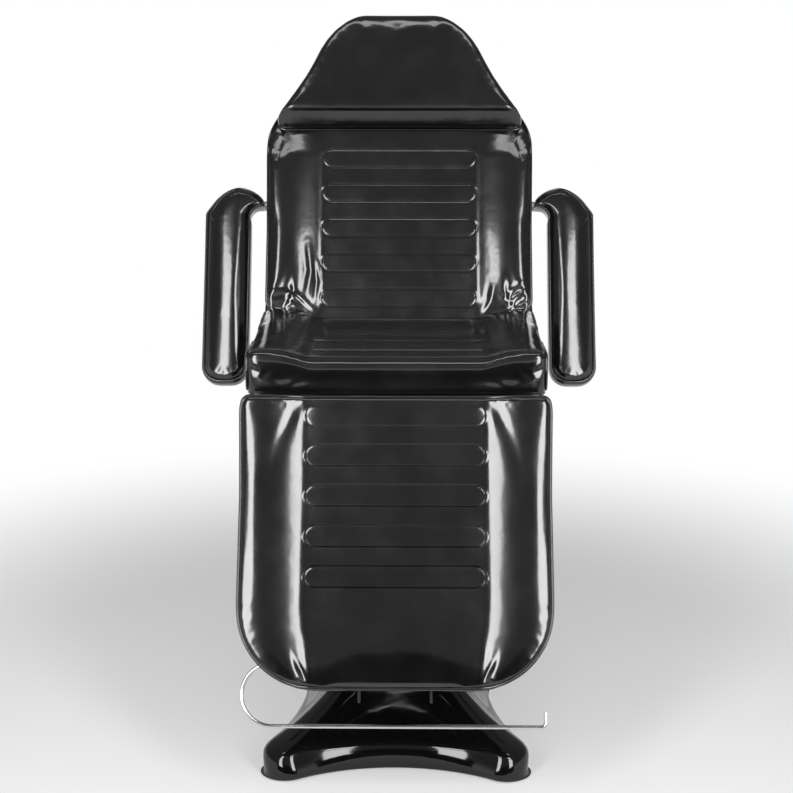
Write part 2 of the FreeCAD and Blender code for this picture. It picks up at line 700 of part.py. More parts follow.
def moving_bracket(x, roots, eye):
    """Two ears on a moving section with the welded pin that runs through its gas spring's eye."""
    gap = SPRING_EYE_WIDTH / 2 + 2 * EAR_GAP
    sides = (x - gap - EAR_THICK, x + gap)
    ears = [ear(x0, EAR_THICK, *roots, eye, MOVING_EAR_R, SPRING_PIN_R / 2) for x0 in sides]
    pin = rod_x(x - gap - EAR_THICK, x + gap + EAR_THICK, *eye, SPRING_PIN_R)
    return pin.fuse(ears).removeSplitter()


def make_back_frame():
    hinge_y, hinge_z = BACK_HINGE
    spindle_y = hinge_y + SPINDLE_PLACE
    spindle_z = PAD_BOTTOM - TUBE / 2
    rail_end = BACK_RAIL_END * BACK_RAIL_SHARE
    rail = tube_y(BACK_RAIL_X, hinge_y + BACK_RAIL_START, hinge_y + rail_end, PAD_BOTTOM)
    hole = rod_x(BACK_RAIL_X - TUBE, BACK_RAIL_X + TUBE, spindle_y, spindle_z, ARM_SPINDLE_R)
    rail = rail.cut(hole)
    inner = BACK_RAIL_X - TUBE / 2
    outer = BACK_RAIL_X + TUBE / 2
    bars = (BACK_RAIL_START + BACK_BAR_FIRST, SPINDLE_PLACE + BACK_BAR_FIRST, rail_end - TUBE)
    crossbars = [tube_x(-inner, inner, hinge_y + reach, PAD_BOTTOM) for reach in bars]
    upper = tube_y(inner / 2, hinge_y + bars[2] + TUBE / 2, hinge_y + BACK_RAIL_END, PAD_BOTTOM)
    root0 = (hinge_y + BACK_RAIL_START + TUBE / 2, PAD_BOTTOM)
    root1 = (hinge_y + BACK_RAIL_START + TUBE, PAD_BOTTOM - TUBE)
    plate = ear(outer, EAR_THICK, root0, root1, BACK_HINGE, EAR_RADIUS, BACK_PIN_R + RUNNING_GAP)
    save("back_rails", *[raised(s) for s in both_sides(rail) + both_sides(upper)])
    save("back_crossbars", *[raised(s) for s in crossbars])
    save("back_ears", *[raised(s) for s in both_sides(plate)])
    eye = (hinge_y + BACK_SPRING_PIN[0], hinge_z + BACK_SPRING_PIN[1])
    bar_y = hinge_y + bars[0]
    roots = ((bar_y - TUBE / 2, PAD_BOTTOM - TUBE), (bar_y + TUBE / 2, PAD_BOTTOM - TUBE))
    save("back_spring_bracket", raised(moving_bracket(SPRING_X, roots, eye)))
    # The armrest spindles pass through the rails and stand out beyond the pad
    spindle = rod_x(inner, ARM_BUSH_END + EAR_THICK, spindle_y, spindle_z, ARM_SPINDLE_R)
    collar = rod_x(outer, ARM_BUSH_START - EAR_GAP, spindle_y, spindle_z, ARM_BUSH_R)
    save("armrest_spindles", *[raised(s) for s in both_sides(spindle.fuse(collar).removeSplitter())])


# Armrests


def arm_outline(z, inset):
    """The armrest seen square on: straight sides, round lower end, domed top with an inward horn."""
    y0 = BACK_HINGE[0] - ARM_LOW + inset
    x0 = ARM_IN + inset
    x1 = ARM_OUT - inset
    r = ARM_CORNER - inset
    width = ARM_OUT - ARM_IN
    bow = r * (1 - math.sqrt(0.5))
    head = {}
    for name, (across, down, pull_x, pull_y) in ARM_HEAD_SHARES.items():
        x = ARM_IN + across * width + pull_x * inset
        y = BACK_HINGE[0] + ARM_TOP - down * width + pull_y * inset
        head[name] = (x, y)

    def at(place):
        return point(place[0], place[1], z)

    def arc(a, b, c):
        return Part.Arc(at(a), at(b), at(c)).toShape()

    edges = [
        arc((x0, y0 + r), (x0 + bow, y0 + bow), (x0 + r, y0)),
        Part.makeLine(at((x0 + r, y0)), at((x1 - r, y0))),
        arc((x1 - r, y0), (x1 - bow, y0 + bow), (x1, y0 + r)),
        Part.makeLine(at((x1, y0 + r)), at(head["shoulder"])),
        arc(head["shoulder"], head["shoulder middle"], head["corner"]),
        arc(head["corner"], head["outer middle"], head["crown"]),
        arc(head["crown"], head["inner middle"], head["horn top"]),
        Part.makeLine(at(head["horn top"]), at(head["horn low"])),
        arc(head["horn low"], head["neck middle"], head["neck"]),
        Part.makeLine(at(head["neck"]), at((x0, y0 + r))),
    ]
    return Part.Wire(edges)


def arm_pad_shape():
    """Armrest pad: the outline stacked with a crown in front and rounded edges."""
    low = SEAT_TOP - ARM_THICK
    levels = [arm_outline(low + ARM_THICK * h, ARM_EDGE * s) for h, s in ARM_CROWN_SHARES]
    return Part.makeLoft(levels, True, True)


def arm_bar_shape():
    """Steel bar under the armrest pad, with a lug and the pivot bush."""
    spindle_y = BACK_HINGE[0] + SPINDLE_PLACE
    spindle_z = PAD_BOTTOM - TUBE / 2
    mid = (ARM_IN + ARM_OUT) / 2
    low = SEAT_TOP - ARM_THICK
    bar_start = BACK_HINGE[0] - ARM_BAR_SHARE * ARM_LOW
    bar = box(mid - ARM_BAR_WIDTH / 2, mid + ARM_BAR_WIDTH / 2, bar_start, spindle_y + ARM_BUSH_R,
              low - ARM_BAR_THICK, low)
    lug_x = mid - ARM_BAR_WIDTH / 2
    root0 = (spindle_y - ARM_BUSH_R, low - ARM_BAR_THICK)
    root1 = (spindle_y + ARM_BUSH_R, low - ARM_BAR_THICK)
    lug = ear(lug_x, ARM_BUSH_END - lug_x, root0, root1, (spindle_y, spindle_z), ARM_BUSH_R, ARM_SPINDLE_R)
    bush = rod_x(ARM_BUSH_START, ARM_BUSH_END, spindle_y, spindle_z, ARM_BUSH_R)
    bore = rod_x(ARM_BUSH_START - OVERRUN, ARM_BUSH_END + OVERRUN, spindle_y, spindle_z,
                 ARM_SPINDLE_R + RUNNING_GAP)
    return bar.fuse([lug, bush]).removeSplitter().cut(bore)


def arm_washer_shape():
    """Cap washer on the outer end of the spindle."""
    spindle_y = BACK_HINGE[0] + SPINDLE_PLACE
    spindle_z = PAD_BOTTOM - TUBE / 2
    x0 = ARM_BUSH_END + EAR_GAP
    ring = rod_x(x0, x0 + EAR_THICK - EAR_GAP, spindle_y, spindle_z, ARM_BUSH_R + 2 * EAR_GAP)
    return ring.cut(rod_x(x0 - OVERRUN, x0 + EAR_THICK, spindle_y, spindle_z, ARM_SPINDLE_R))


def make_armrests():
    pad = raised(arm_pad_shape())
    bar = raised(arm_bar_shape())
    save("armrest_pad_right", pad)
    save("armrest_pad_left", mirrored(pad))
    save("armrest_bar_right", bar)
    save("armrest_bar_left", mirrored(bar))
    save("armrest_washers", *both_sides(raised(arm_washer_shape())))


# Paper roll holder


def roll_rod_shape():
    """One bent wire: straight arm, half loop, long bar and a short hook at its free end."""
    arm_y = LEG_HINGE[0] - ROLL_PLACE
    bar_y = arm_y - 2 * ROLL_LOOP_R
    z = SEAT_TOP - ROLL_DEPTH
    bend = ROLL_HOOK_BEND
    left = -ROLL_LEFT

    def at(x, y):
        return point(x, y, z)

    diagonal = bend * math.sqrt(0.5)
    side = ROLL_LOOP_R * math.sqrt(0.5)
    mid_y = arm_y - ROLL_LOOP_R
    edges = [
        Part.makeLine(at(ROLL_ARM_END, arm_y), at(left, arm_y)),
        Part.Arc(at(left, arm_y), at(left - side, mid_y + side), at(left - ROLL_LOOP_R, mid_y)).toShape(),
        Part.Arc(at(left - ROLL_LOOP_R, mid_y), at(left - side, mid_y - side), at(left, bar_y)).toShape(),
        Part.makeLine(at(left, bar_y), at(ROLL_RIGHT - bend, bar_y)),
        Part.Arc(at(ROLL_RIGHT - bend, bar_y),
                 at(ROLL_RIGHT - bend + diagonal, bar_y + bend - diagonal),
                 at(ROLL_RIGHT, bar_y + bend)).toShape(),
        Part.makeLine(at(ROLL_RIGHT, bar_y + bend), at(ROLL_RIGHT, bar_y + ROLL_HOOK)),
    ]
    path = Part.Wire(edges)
    ring = Part.Wire(Part.makeCircle(ROLL_ROD_R, at(ROLL_ARM_END, arm_y), point(1, 0, 0)))
    return path.makePipeShell([ring], True, False)


def roll_plate_shape():
    """Bracket plate that carries the rod, from the leg crossbar out past the pad."""
    start = LEG_HINGE[0] - LEG_RAIL_END + LEG_BAR_LAST - TUBE / 2
    end = LEG_HINGE[0] - ROLL_PLATE_END
    z = SEAT_TOP - ROLL_DEPTH
    half = ROLL_ROD_R + EAR_THICK
    x0 = ROLL_PLATE_X - ROLL_PLATE_THICK / 2
    x1 = ROLL_PLATE_X + ROLL_PLATE_THICK / 2
    body = box(x0, x1, end + half, start, z - half, z + half)
    foot = box(x0, x1, LEG_HINGE[0] - ROLL_PLACE - 2 * half, start, z, PAD_BOTTOM)
    tip = rod_x(x0, x1, end + half, z, half)
    plate = body.fuse([foot, tip]).removeSplitter()
    return plate.cut(rod_x(x0 - OVERRUN, x1 + OVERRUN, LEG_HINGE[0] - ROLL_PLACE, z, ROLL_ROD_R))


def lock_screw_shape():
    """Collar with a thumb screw that clamps the rod beside its plate."""
    y = LEG_HINGE[0] - ROLL_PLACE
    z = SEAT_TOP - ROLL_DEPTH
    x0 = ROLL_PLATE_X - ROLL_PLATE_THICK / 2 - LOCK_COLLAR_WIDTH
    x1 = ROLL_PLATE_X - ROLL_PLATE_THICK / 2
    collar = rod_x(x0, x1, y, z, LOCK_COLLAR_R).cut(rod_x(x0, x1, y, z, ROLL_ROD_R))
    x = (x0 + x1) / 2
    stem = rod_z(z - LOCK_STEM_LOW, z - LOCK_STEM_TOP, x, y, SCREW_R)
    knob = rod_z(z - LOCK_KNOB_LOW, z - LOCK_KNOB_TOP, x, y, LOCK_KNOB_R)
    return collar.fuse([stem, knob]).removeSplitter()


def make_roll_holder():
    save("roll_holder", hung(roll_rod_shape()))
    save("roll_holder_plates", *[hung(s) for s in both_sides(roll_plate_shape())])
    save("roll_holder_lock_screws", *[hung(s) for s in both_sides(lock_screw_shape())])


# Gas springs and their levers


def spring_place(pin, hinge, degrees, take_up):
    """Distance and direction from the anchor to the spring's eye at rest."""
    turned_pin = turned_place(pin, degrees)
    dy = hinge[0] + turned_pin[0] - SPRING_ANCHOR_Y
    dz = hinge[1] + turned_pin[1] - SPRING_ANCHOR_Z
    return math.hypot(dy, dz) + take_up[0], math.degrees(math.atan2(dz, dy)) + take_up[1]


def spring_rod_shape(length, tube, stroke_back):
    """Rod with its piston. It ends inside the cylinder at full length."""
    mouth = length - SPRING_NECK - tube
    end = mouth + stroke_back + SPRING_ROD_DEPTH
    rod = rod_y(SPRING_HEAD_REACH, end, 0, 0, SPRING_ROD_R)
    piston_r = SPRING_TUBE_R - SPRING_TUBE_WALL - RUNNING_GAP
    return rod.fuse(rod_y(end - SPRING_PISTON, end, 0, 0, piston_r)).removeSplitter()


def spring_head_shape(side):
    """Release head on the rod, with the two lugs that carry the lever."""
    head = box(-SPRING_HEAD_HALF, SPRING_HEAD_HALF, -SPRING_HEAD_HALF, SPRING_HEAD_REACH,
               -SPRING_HEAD_HALF, SPRING_HEAD_HALF)
    hub_y = lever_hub_place()
    x = SPRING_HEAD_HALF + LEVER_HUB_R + 2 * EAR_GAP
    lugs = []
    near = hub_y - LEVER_HUB_WIDTH / 2 - EAR_GAP
    far = hub_y + LEVER_HUB_WIDTH / 2 + EAR_GAP
    for y0, y1 in ((near - LEVER_LUG_THICK, near), (far, far + LEVER_LUG_THICK)):
        lug = rod_y(y0, y1, side * x, 0, LEVER_HUB_R)
        foot_x = sorted((side * SPRING_HEAD_HALF, side * x))
        lugs += [lug, box(foot_x[0], foot_x[1], y0, y1, -LEVER_HUB_R, LEVER_HUB_R)]
    pin = rod_y(near - LEVER_LUG_THICK, far + LEVER_LUG_THICK, side * x, 0, LEVER_PIN_R)
    bore = rod_x(-SPRING_HEAD_HALF - OVERRUN, SPRING_HEAD_HALF + OVERRUN, 0, 0, SPRING_PIN_R + RUNNING_GAP)
    return head.fuse(lugs + [pin]).removeSplitter().cut(bore)


def lever_hub_place():
    """Distance of the lever hub from the anchor, along the spring."""
    return SPRING_HEAD_REACH - LEVER_LUG_THICK - LEVER_HUB_WIDTH / 2 - EAR_GAP


def spring_tube_shape(length, tube):
    """Cylinder with its gland, chamber and the eye at the far end."""
    end = length - SPRING_NECK
    mouth = end - tube
    body = rod_y(mouth, end, 0, 0, SPRING_TUBE_R)
    neck = rod_y(end, length, 0, 0, SPRING_EYE_WIDTH / 2)
    eye = rod_x(-SPRING_EYE_WIDTH / 2, SPRING_EYE_WIDTH / 2, length, 0, SPRING_EYE_R)
    whole = body.fuse([neck, eye]).removeSplitter()
    hole = rod_x(-SPRING_EYE_WIDTH, SPRING_EYE_WIDTH, length, 0, SPRING_PIN_R + SPRING_MISS)
    chamber = rod_y(mouth + SPRING_GLAND, end - SPRING_TUBE_WALL, 0, 0, SPRING_TUBE_R - SPRING_TUBE_WALL)
    gland = rod_y(mouth - OVERRUN, mouth + SPRING_GLAND + OVERRUN, 0, 0, SPRING_ROD_R + RUNNING_GAP)
    return whole.cut(hole).cut(chamber).cut(gland)


def lever_shape(side):
    """Release lever: a hub on the head's pin and a straight rod out to the grip."""
    hub_y = lever_hub_place()
    hub_x = SPRING_HEAD_HALF + LEVER_HUB_R + 2 * EAR_GAP
    hub = rod_y(hub_y - LEVER_HUB_WIDTH / 2, hub_y + LEVER_HUB_WIDTH / 2, side * hub_x, 0, LEVER_HUB_R)
    reach = LEVER_REACH - SPRING_X
    rod_start = hub_x + (LEVER_HUB_R + LEVER_PIN_R) / 2
    rod = rod_x(*sorted((side * rod_start, side * reach)), hub_y, 0, LEVER_ROD_R)
    bore = rod_y(-OVERRUN, 2 * SPRING_HEAD_REACH, side * hub_x, 0, LEVER_PIN_R + RUNNING_GAP)
    return hub.fuse(rod).removeSplitter().cut(bore)


def grip_shape(side):
    """Plastic grip with bevelled ends on the lever's end."""
    hub_y = lever_hub_place()
    reach = LEVER_REACH - SPRING_X
    ends = sorted((side * (reach - LEVER_GRIP_LENGTH), side * reach))
    grip = rod_x(*ends, hub_y, 0, LEVER_GRIP_R)
    grip = grip.makeChamfer(LEVER_GRIP_BEVEL, [e for e in grip.Edges if e.Closed])
    return grip.cut(rod_x(*sorted((0, side * reach)), hub_y, 0, LEVER_ROD_R))


def make_spring(name, side, pin, hinge, degrees, take_up, tube_share, stroke_back):
    """The four bodies' pieces of one gas spring, at its rest length and direction."""
    length, direction = spring_place(pin, hinge, degrees, take_up)
    tube = tube_share * (length - SPRING_NECK)

    def placed(shape):
        shape = shape.rotated(point(0, 0, 0), point(1, 0, 0), direction)
        return shape.translated(point(side * SPRING_X, SPRING_ANCHOR_Y, SPRING_ANCHOR_Z))

    save(f"{name}_spring_rod", placed(spring_rod_shape(length, tube, stroke_back)))
    save(f"{name}_spring_head", placed(spring_head_shape(side)))
    save(f"{name}_spring_cylinder", placed(spring_tube_shape(length, tube)))
    save(f"{name}_release_lever", placed(lever_shape(side)))
    save(f"{name}_lever_grip", placed(grip_shape(side)))
    hub = turned_place((lever_hub_place(), 0), direction)
    print(name, "spring length", round(length, 3), "direction", round(direction, 3))
    print(name, "lever pivot", side * (SPRING_X + SPRING_HEAD_HALF + LEVER_HUB_R + 2 * EAR_GAP),
          round(SPRING_ANCHOR_Y + hub[0], 3), round(SPRING_ANCHOR_Z + hub[1], 3))


def make_springs():
    leg = (LEG_SPRING_PIN, LEG_HINGE, LEG_HANG_DEGREES, LEG_SPRING_TAKE_UP, LEG_SPRING_TUBE_SHARE, LEG_STROKE)
    back = (BACK_SPRING_PIN, BACK_HINGE, BACK_RISE_DEGREES, BACK_SPRING_TAKE_UP, BACK_SPRING_TUBE_SHARE, 0)
    make_spring("leg", -1, *leg)
    make_spring("back", 1, *back)


# Lift column


def hex_bolt(z_under, length, x, y):
    """Bolt with a hexagon head under a face."""
    turns = [2 * math.pi * k / HEX_SIDES for k in range(HEX_SIDES + 1)]
    z = z_under - BOLT_HEAD_HEIGHT
    corners = [point(x + BOLT_HEAD_R * math.cos(a), y + BOLT_HEAD_R * math.sin(a), z) for a in turns]
    head = Part.Face(Part.makePolygon(corners)).extrude(point(0, 0, BOLT_HEAD_HEIGHT))
    return head.fuse(rod_z(z_under, z_under + length, x, y, BOLT_R)).removeSplitter()


def plate_bolt_places():
    x = PLATE_HALF - PLATE_BOLT_INSET
    return [(sx * x, sy * CROSSBAR_Y) for sx in (-1, 1) for sy in (-1, 1)]


def make_column():
    outer = rod_z(BASE_PLATE_TOP, CYLINDER_TOP - GLAND_HEIGHT, 0, 0, CYLINDER_R)
    flange = rod_z(BASE_PLATE_TOP, BASE_PLATE_TOP + FLANGE_THICK, 0, 0, FLANGE_R)
    bore_bottom = BASE_PLATE_TOP + FLANGE_THICK + WASHER_THICK
    bore = rod_z(bore_bottom, CYLINDER_TOP + OVERRUN, 0, 0, RAM_R + RUNNING_GAP)
    cylinder = outer.fuse(flange).removeSplitter().cut(bore)
    places = flange_bolt_places()
    hole_top = BASE_PLATE_TOP + FLANGE_THICK + OVERRUN
    for x, y in places:
        cylinder = cylinder.cut(rod_z(BASE_PLATE_TOP - OVERRUN, hole_top, x, y, BOLT_R))
    save("pump_cylinder", cylinder)
    gland = rod_z(CYLINDER_TOP - GLAND_HEIGHT, CYLINDER_TOP, 0, 0, GLAND_R)
    rim = [e for e in gland.Edges if e.Closed and e.Vertexes[0].Z > CYLINDER_TOP - OVERRUN]
    gland = gland.makeFillet(GLAND_FILLET, rim)
    save("pump_gland", gland.cut(bore))
    bolts = []
    for x, y in places:
        bolt = hex_bolt(0, FLANGE_THICK + BASE_PLATE_THICK, x, y)
        top = BASE_PLATE_TOP + FLANGE_THICK
        bolts.append(bolt.rotated(point(x, y, 0), point(1, 0, 0), 180).translated(point(0, 0, top)))
    save("pump_bolts", *bolts)
    ram_bottom = CYLINDER_TOP - LIFT_TRAVEL - RAM_OVERLAP
    ram = rod_z(ram_bottom, RAM_TOP, 0, 0, RAM_R)
    socket_low = RAM_TOP - SPINDLE_LENGTH - OVERRUN
    ram = ram.cut(rod_z(socket_low, RAM_TOP + OVERRUN, 0, 0, SPINDLE_R + RUNNING_GAP))
    save("pump_ram", ram)
    washer = rod_z(RAM_TOP, PLATE_BOTTOM, 0, 0, RAM_R + 2 * WASHER_THICK)
    save("swivel_washer", washer.cut(rod_z(RAM_TOP, PLATE_BOTTOM, 0, 0, SPINDLE_R + RUNNING_GAP)))
    save("swivel_spindle", rod_z(RAM_TOP - SPINDLE_LENGTH, PLATE_BOTTOM, 0, 0, SPINDLE_R))
    plate = box(-PLATE_HALF, PLATE_HALF, -PLATE_HALF, PLATE_HALF, PLATE_BOTTOM, RAIL_BOTTOM)
    corners = [e for e in plate.Edges if abs(e.Vertexes[0].Z - e.Vertexes[1].Z) > OVERRUN]
    plate = plate.makeFillet(TUBE / 2, corners)
    for x, y in plate_bolt_places():
        plate = plate.cut(rod_z(PLATE_BOTTOM - OVERRUN, RAIL_BOTTOM + OVERRUN, x, y, BOLT_R))
    save("mounting_plate", plate)
    save("mounting_bolts", *[hex_bolt(PLATE_BOTTOM, PLATE_THICK, x, y) for x, y in plate_bolt_places()])


def flange_bolt_places():
    angles = [2 * math.pi * (k + 1 / 2) / FLANGE_BOLTS for k in range(FLANGE_BOLTS)]
    return [(FLANGE_BOLT_PITCH_R * math.cos(a), FLANGE_BOLT_PITCH_R * math.sin(a)) for a in angles]


# Base


def hollow_radius(along, across, foot_r, waist):
    """Radius of the concave arc through the waist that touches the feet on both sides of it."""
    return (foot_r**2 - along**2 - (waist - across) ** 2) / (2 * (waist - across - foot_r))


def bow_tie(z, foot_x, foot_y, foot_r, front_waist, side_waist):
    """Base outline: four round feet joined by tangent concave arcs."""
    front_r = hollow_radius(foot_x, foot_y, foot_r, front_waist)
    side_r = hollow_radius(foot_y, foot_x, foot_r, side_waist)
    front_centre = (0, front_waist + front_r)
    side_centre = (side_waist + side_r, 0)

    def toward(centre, radius):
        dx, dy = foot_x - centre[0], foot_y - centre[1]
        length = math.hypot(dx, dy)
        return (centre[0] + dx / length * radius, centre[1] + dy / length * radius)

    front_touch = toward(front_centre, front_r)
    side_touch = toward(side_centre, side_r)
    a0 = math.atan2(side_touch[1] - foot_y, side_touch[0] - foot_x)
    a1 = math.atan2(front_touch[1] - foot_y, front_touch[0] - foot_x)
    mid = (foot_x + foot_r * math.cos((a0 + a1) / 2), foot_y + foot_r * math.sin((a0 + a1) / 2))

    def at(place, sx, sy):
        return point(sx * place[0], sy * place[1], z)

    def arc(a, b, c):
        return Part.Arc(a, b, c).toShape()

    edges = [
        arc(at(side_touch, 1, 1), at(mid, 1, 1), at(front_touch, 1, 1)),
        arc(at(front_touch, 1, 1), point(0, front_waist, z), at(front_touch, -1, 1)),
        arc(at(front_touch, -1, 1), at(mid, -1, 1), at(side_touch, -1, 1)),
        arc(at(side_touch, -1, 1), point(-side_waist, 0, z), at(side_touch, -1, -1)),
        arc(at(side_touch, -1, -1), at(mid, -1, -1), at(front_touch, -1, -1)),
        arc(at(front_touch, -1, -1), point(0, -front_waist, z), at(front_touch, 1, -1)),
        arc(at(front_touch, 1, -1), at(mid, 1, -1), at(side_touch, 1, -1)),
        arc(at(side_touch, 1, -1), point(side_waist, 0, z), at(side_touch, 1, 1)),
    ]
    return Part.Wire(edges)


def base_levels(wall):
    """(height, outline values) of the moulded cover, from its rim to its neck."""
    height = BASE_NECK_Z - BASE_RIM_Z
    corner_x = BASE_FOOT_X + BASE_FOOT_R
    corner_y = BASE_FOOT_Y + BASE_FOOT_R
    levels = []
    for rise, x_share, y_share, side_pull, front_pull, r_share in BASE_LEVEL_SHARES:
        foot_r = BASE_FOOT_R * r_share - wall
        foot_x = corner_x * x_share - wall - foot_r
        foot_y = corner_y * y_share - wall - foot_r
        side_waist = corner_x * x_share * (1 - side_pull) - wall
        front_waist = corner_y * y_share * (1 - front_pull) - wall
        levels.append((BASE_RIM_Z + height * rise, foot_x, foot_y, foot_r, front_waist, side_waist))
    return levels


def make_base_cover():
    """Thin moulded shell: outer loft less an inner one, open below, with a neck for the column."""
    outer = Part.makeLoft([bow_tie(*level) for level in base_levels(0)], True, False)
    inner_levels = base_levels(BASE_WALL)
    lowered = [(z - BASE_WALL, *rest) for z, *rest in inner_levels]
    inner = Part.makeLoft([bow_tie(*level) for level in lowered], True, False)
    cover = outer.cut(inner)
    neck = rod_z(BASE_NECK_Z - 3 * BASE_WALL, BASE_NECK_Z + OVERRUN, 0, 0, CYLINDER_R + BASE_WALL)
    cover = cover.cut(neck).fuse([boss.common(outer) for boss in cover_bosses()]).removeSplitter()
    slot = box(-PEDAL_SLOT_HALF, PEDAL_SLOT_HALF, PEDAL_PIVOT_Y + TUBE, BASE_FOOT_Y + 2 * BASE_FOOT_R,
               PEDAL_SLOT_LOW, PEDAL_SLOT_TOP)
    save("base_cover", cover.cut(slot))


def cover_bosses():
    """Posts inside the cover that stand on the base arms."""
    x, y = BOSS_SHARE * BASE_FOOT_X, BOSS_SHARE * BASE_FOOT_Y
    places = [(sx * x, sy * y) for sx in (-1, 1) for sy in (-1, 1)]
    low = PAD_FOOT_HEIGHT + BASE_ARM_HEIGHT
    return [rod_z(low, low + BASE_SKIRT_HEIGHT, x, y, BASE_ARM_WIDTH / 4) for x, y in places]


def make_base_frame():
    plate = box(-BASE_PLATE_HALF, BASE_PLATE_HALF, -BASE_PLATE_HALF, BASE_PLATE_HALF,
                PAD_FOOT_HEIGHT, BASE_PLATE_TOP)
    for x, y in flange_bolt_places():
        plate = plate.cut(rod_z(PAD_FOOT_HEIGHT - OVERRUN, BASE_PLATE_TOP + OVERRUN, x, y, BOLT_R))
    save("base_plate", plate)
    reach = math.hypot(BASE_FOOT_X, BASE_FOOT_Y)
    arms = []
    feet = [rod_z(0, PAD_FOOT_HEIGHT, 0, 0, PAD_FOOT_R)]
    recess = box(-BASE_PLATE_HALF, BASE_PLATE_HALF, -BASE_PLATE_HALF, BASE_PLATE_HALF,
                 0, PAD_FOOT_HEIGHT + 2 * BASE_ARM_HEIGHT)
    for sx, sy in ((1, 1), (-1, 1), (-1, -1), (1, -1)):
        arm = box(BASE_PLATE_HALF, reach, -BASE_ARM_WIDTH / 2, BASE_ARM_WIDTH / 2,
                  PAD_FOOT_HEIGHT, PAD_FOOT_HEIGHT + BASE_ARM_HEIGHT)
        end = rod_z(PAD_FOOT_HEIGHT, PAD_FOOT_HEIGHT + BASE_ARM_HEIGHT, reach, 0, BASE_ARM_WIDTH / 2)
        arm = arm.fuse(end)
        heading = math.degrees(math.atan2(sy * BASE_FOOT_Y, sx * BASE_FOOT_X))
        arms.append(arm.removeSplitter().rotated(point(0, 0, 0), point(0, 0, 1), heading).cut(recess))
        feet.append(rod_z(0, PAD_FOOT_HEIGHT, sx * BASE_FOOT_X, sy * BASE_FOOT_Y, PAD_FOOT_R))
    save("base_arms", *arms)
    save("base_feet", *feet)


def pedal_lug(x0):
    """Upright plate on the base plate that holds the pedal pin."""
    eye = (PEDAL_PIVOT_Y, PEDAL_PIVOT_Z)
    root0 = (FLANGE_R + 4 * EAR_GAP, BASE_PLATE_TOP)
    root1 = (BASE_PLATE_HALF, BASE_PLATE_TOP)
    return ear(x0, EAR_THICK, root0, root1, eye, 2 * PEDAL_PIN_R, PEDAL_PIN_R)


def make_pedal():
    eye = (PEDAL_PIVOT_Y, PEDAL_PIVOT_Z)
    half = PEDAL_WIDTH / 2
    lugs = [pedal_lug(half + EAR_GAP), pedal_lug(-half - EAR_GAP - EAR_THICK)]
    save("pedal_lugs", *lugs)
    pin_end = half + EAR_GAP + EAR_THICK + EAR_GAP
    save("pedal_pivot_pin", rod_x(-pin_end, pin_end, *eye, PEDAL_PIN_R))
    lever = box(-half, half, PEDAL_PIVOT_Y, PEDAL_PIVOT_Y + PEDAL_REACH,
                PEDAL_PIVOT_Z - PEDAL_THICK / 2, PEDAL_PIVOT_Z + PEDAL_THICK / 2)
    hub = rod_x(-half, half, *eye, 2 * PEDAL_PIN_R)
    tread_start = PEDAL_PIVOT_Y + PEDAL_REACH - PEDAL_PAD_LENGTH
    tread = box(-PEDAL_PAD_WIDTH / 2, PEDAL_PAD_WIDTH / 2, tread_start, PEDAL_PIVOT_Y + PEDAL_REACH,
                PEDAL_PIVOT_Z - PEDAL_THICK / 2, PEDAL_PIVOT_Z + PEDAL_THICK / 2)
    uprights = [e for e in tread.Edges if abs(e.Vertexes[0].Z - e.Vertexes[1].Z) > OVERRUN]
    tread = tread.makeFillet(PEDAL_THICK, uprights)
    arm = lever.fuse([hub, tread]).removeSplitter()
    arm = arm.cut(rod_x(-half - OVERRUN, half + OVERRUN, *eye, PEDAL_PIN_R + RUNNING_GAP))
    rubber = box(-PEDAL_PAD_WIDTH / 2 + EAR_GAP, PEDAL_PAD_WIDTH / 2 - EAR_GAP, tread_start + EAR_GAP,
                 PEDAL_PIVOT_Y + PEDAL_REACH - EAR_GAP, PEDAL_PIVOT_Z + PEDAL_THICK / 2,
                 PEDAL_PIVOT_Z + PEDAL_THICK / 2 + PEDAL_PAD_THICK)
    uprights = [e for e in rubber.Edges if abs(e.Vertexes[0].Z - e.Vertexes[1].Z) > OVERRUN]
    rubber = rubber.makeFillet(PEDAL_THICK, uprights)
    for k in range(PEDAL_GROOVES):
        x = PEDAL_PAD_WIDTH * ((k + 1) / (PEDAL_GROOVES + 1) - 1 / 2)
        rubber = rubber.cut(rod_y(tread_start - OVERRUN, PEDAL_PIVOT_Y + PEDAL_REACH + OVERRUN, x,
                                  PEDAL_PIVOT_Z + PEDAL_THICK / 2 + PEDAL_PAD_THICK, SCREW_R))
    save("pump_pedal", turned(arm, eye, PEDAL_TILT))
    save("pedal_pad", turned(rubber, eye, PEDAL_TILT))


def board_screw(x, y, z_under):
    """Pan-head screw that holds a board to its frame from below."""
    return rod_z(z_under - SCREW_HEAD_HEIGHT, z_under, x, y, SCREW_HEAD_R)


def make_screws():
    """Screw heads under the frame tubes."""
    sides = (-1, 1)
    seat = [board_screw(sx * SEAT_RAIL_X, sy * SEAT_SCREW_Y, RAIL_BOTTOM) for sx in sides for sy in sides]
    save("seat_board_screws", *seat)
    leg = []
    back = []
    for side in sides:
        for share in LEG_SCREW_SHARES:
            screw = board_screw(side * LEG_RAIL_X, LEG_HINGE[0] - LEG_RAIL_END * share, RAIL_BOTTOM)
            leg.append(hung(screw))
        for share in BACK_SCREW_SHARES:
            screw = board_screw(side * BACK_RAIL_X, BACK_HINGE[0] + BACK_RAIL_END * share, RAIL_BOTTOM)
            back.append(raised(screw))
    save("leg_board_screws", *leg)
    save("back_board_screws", *back)


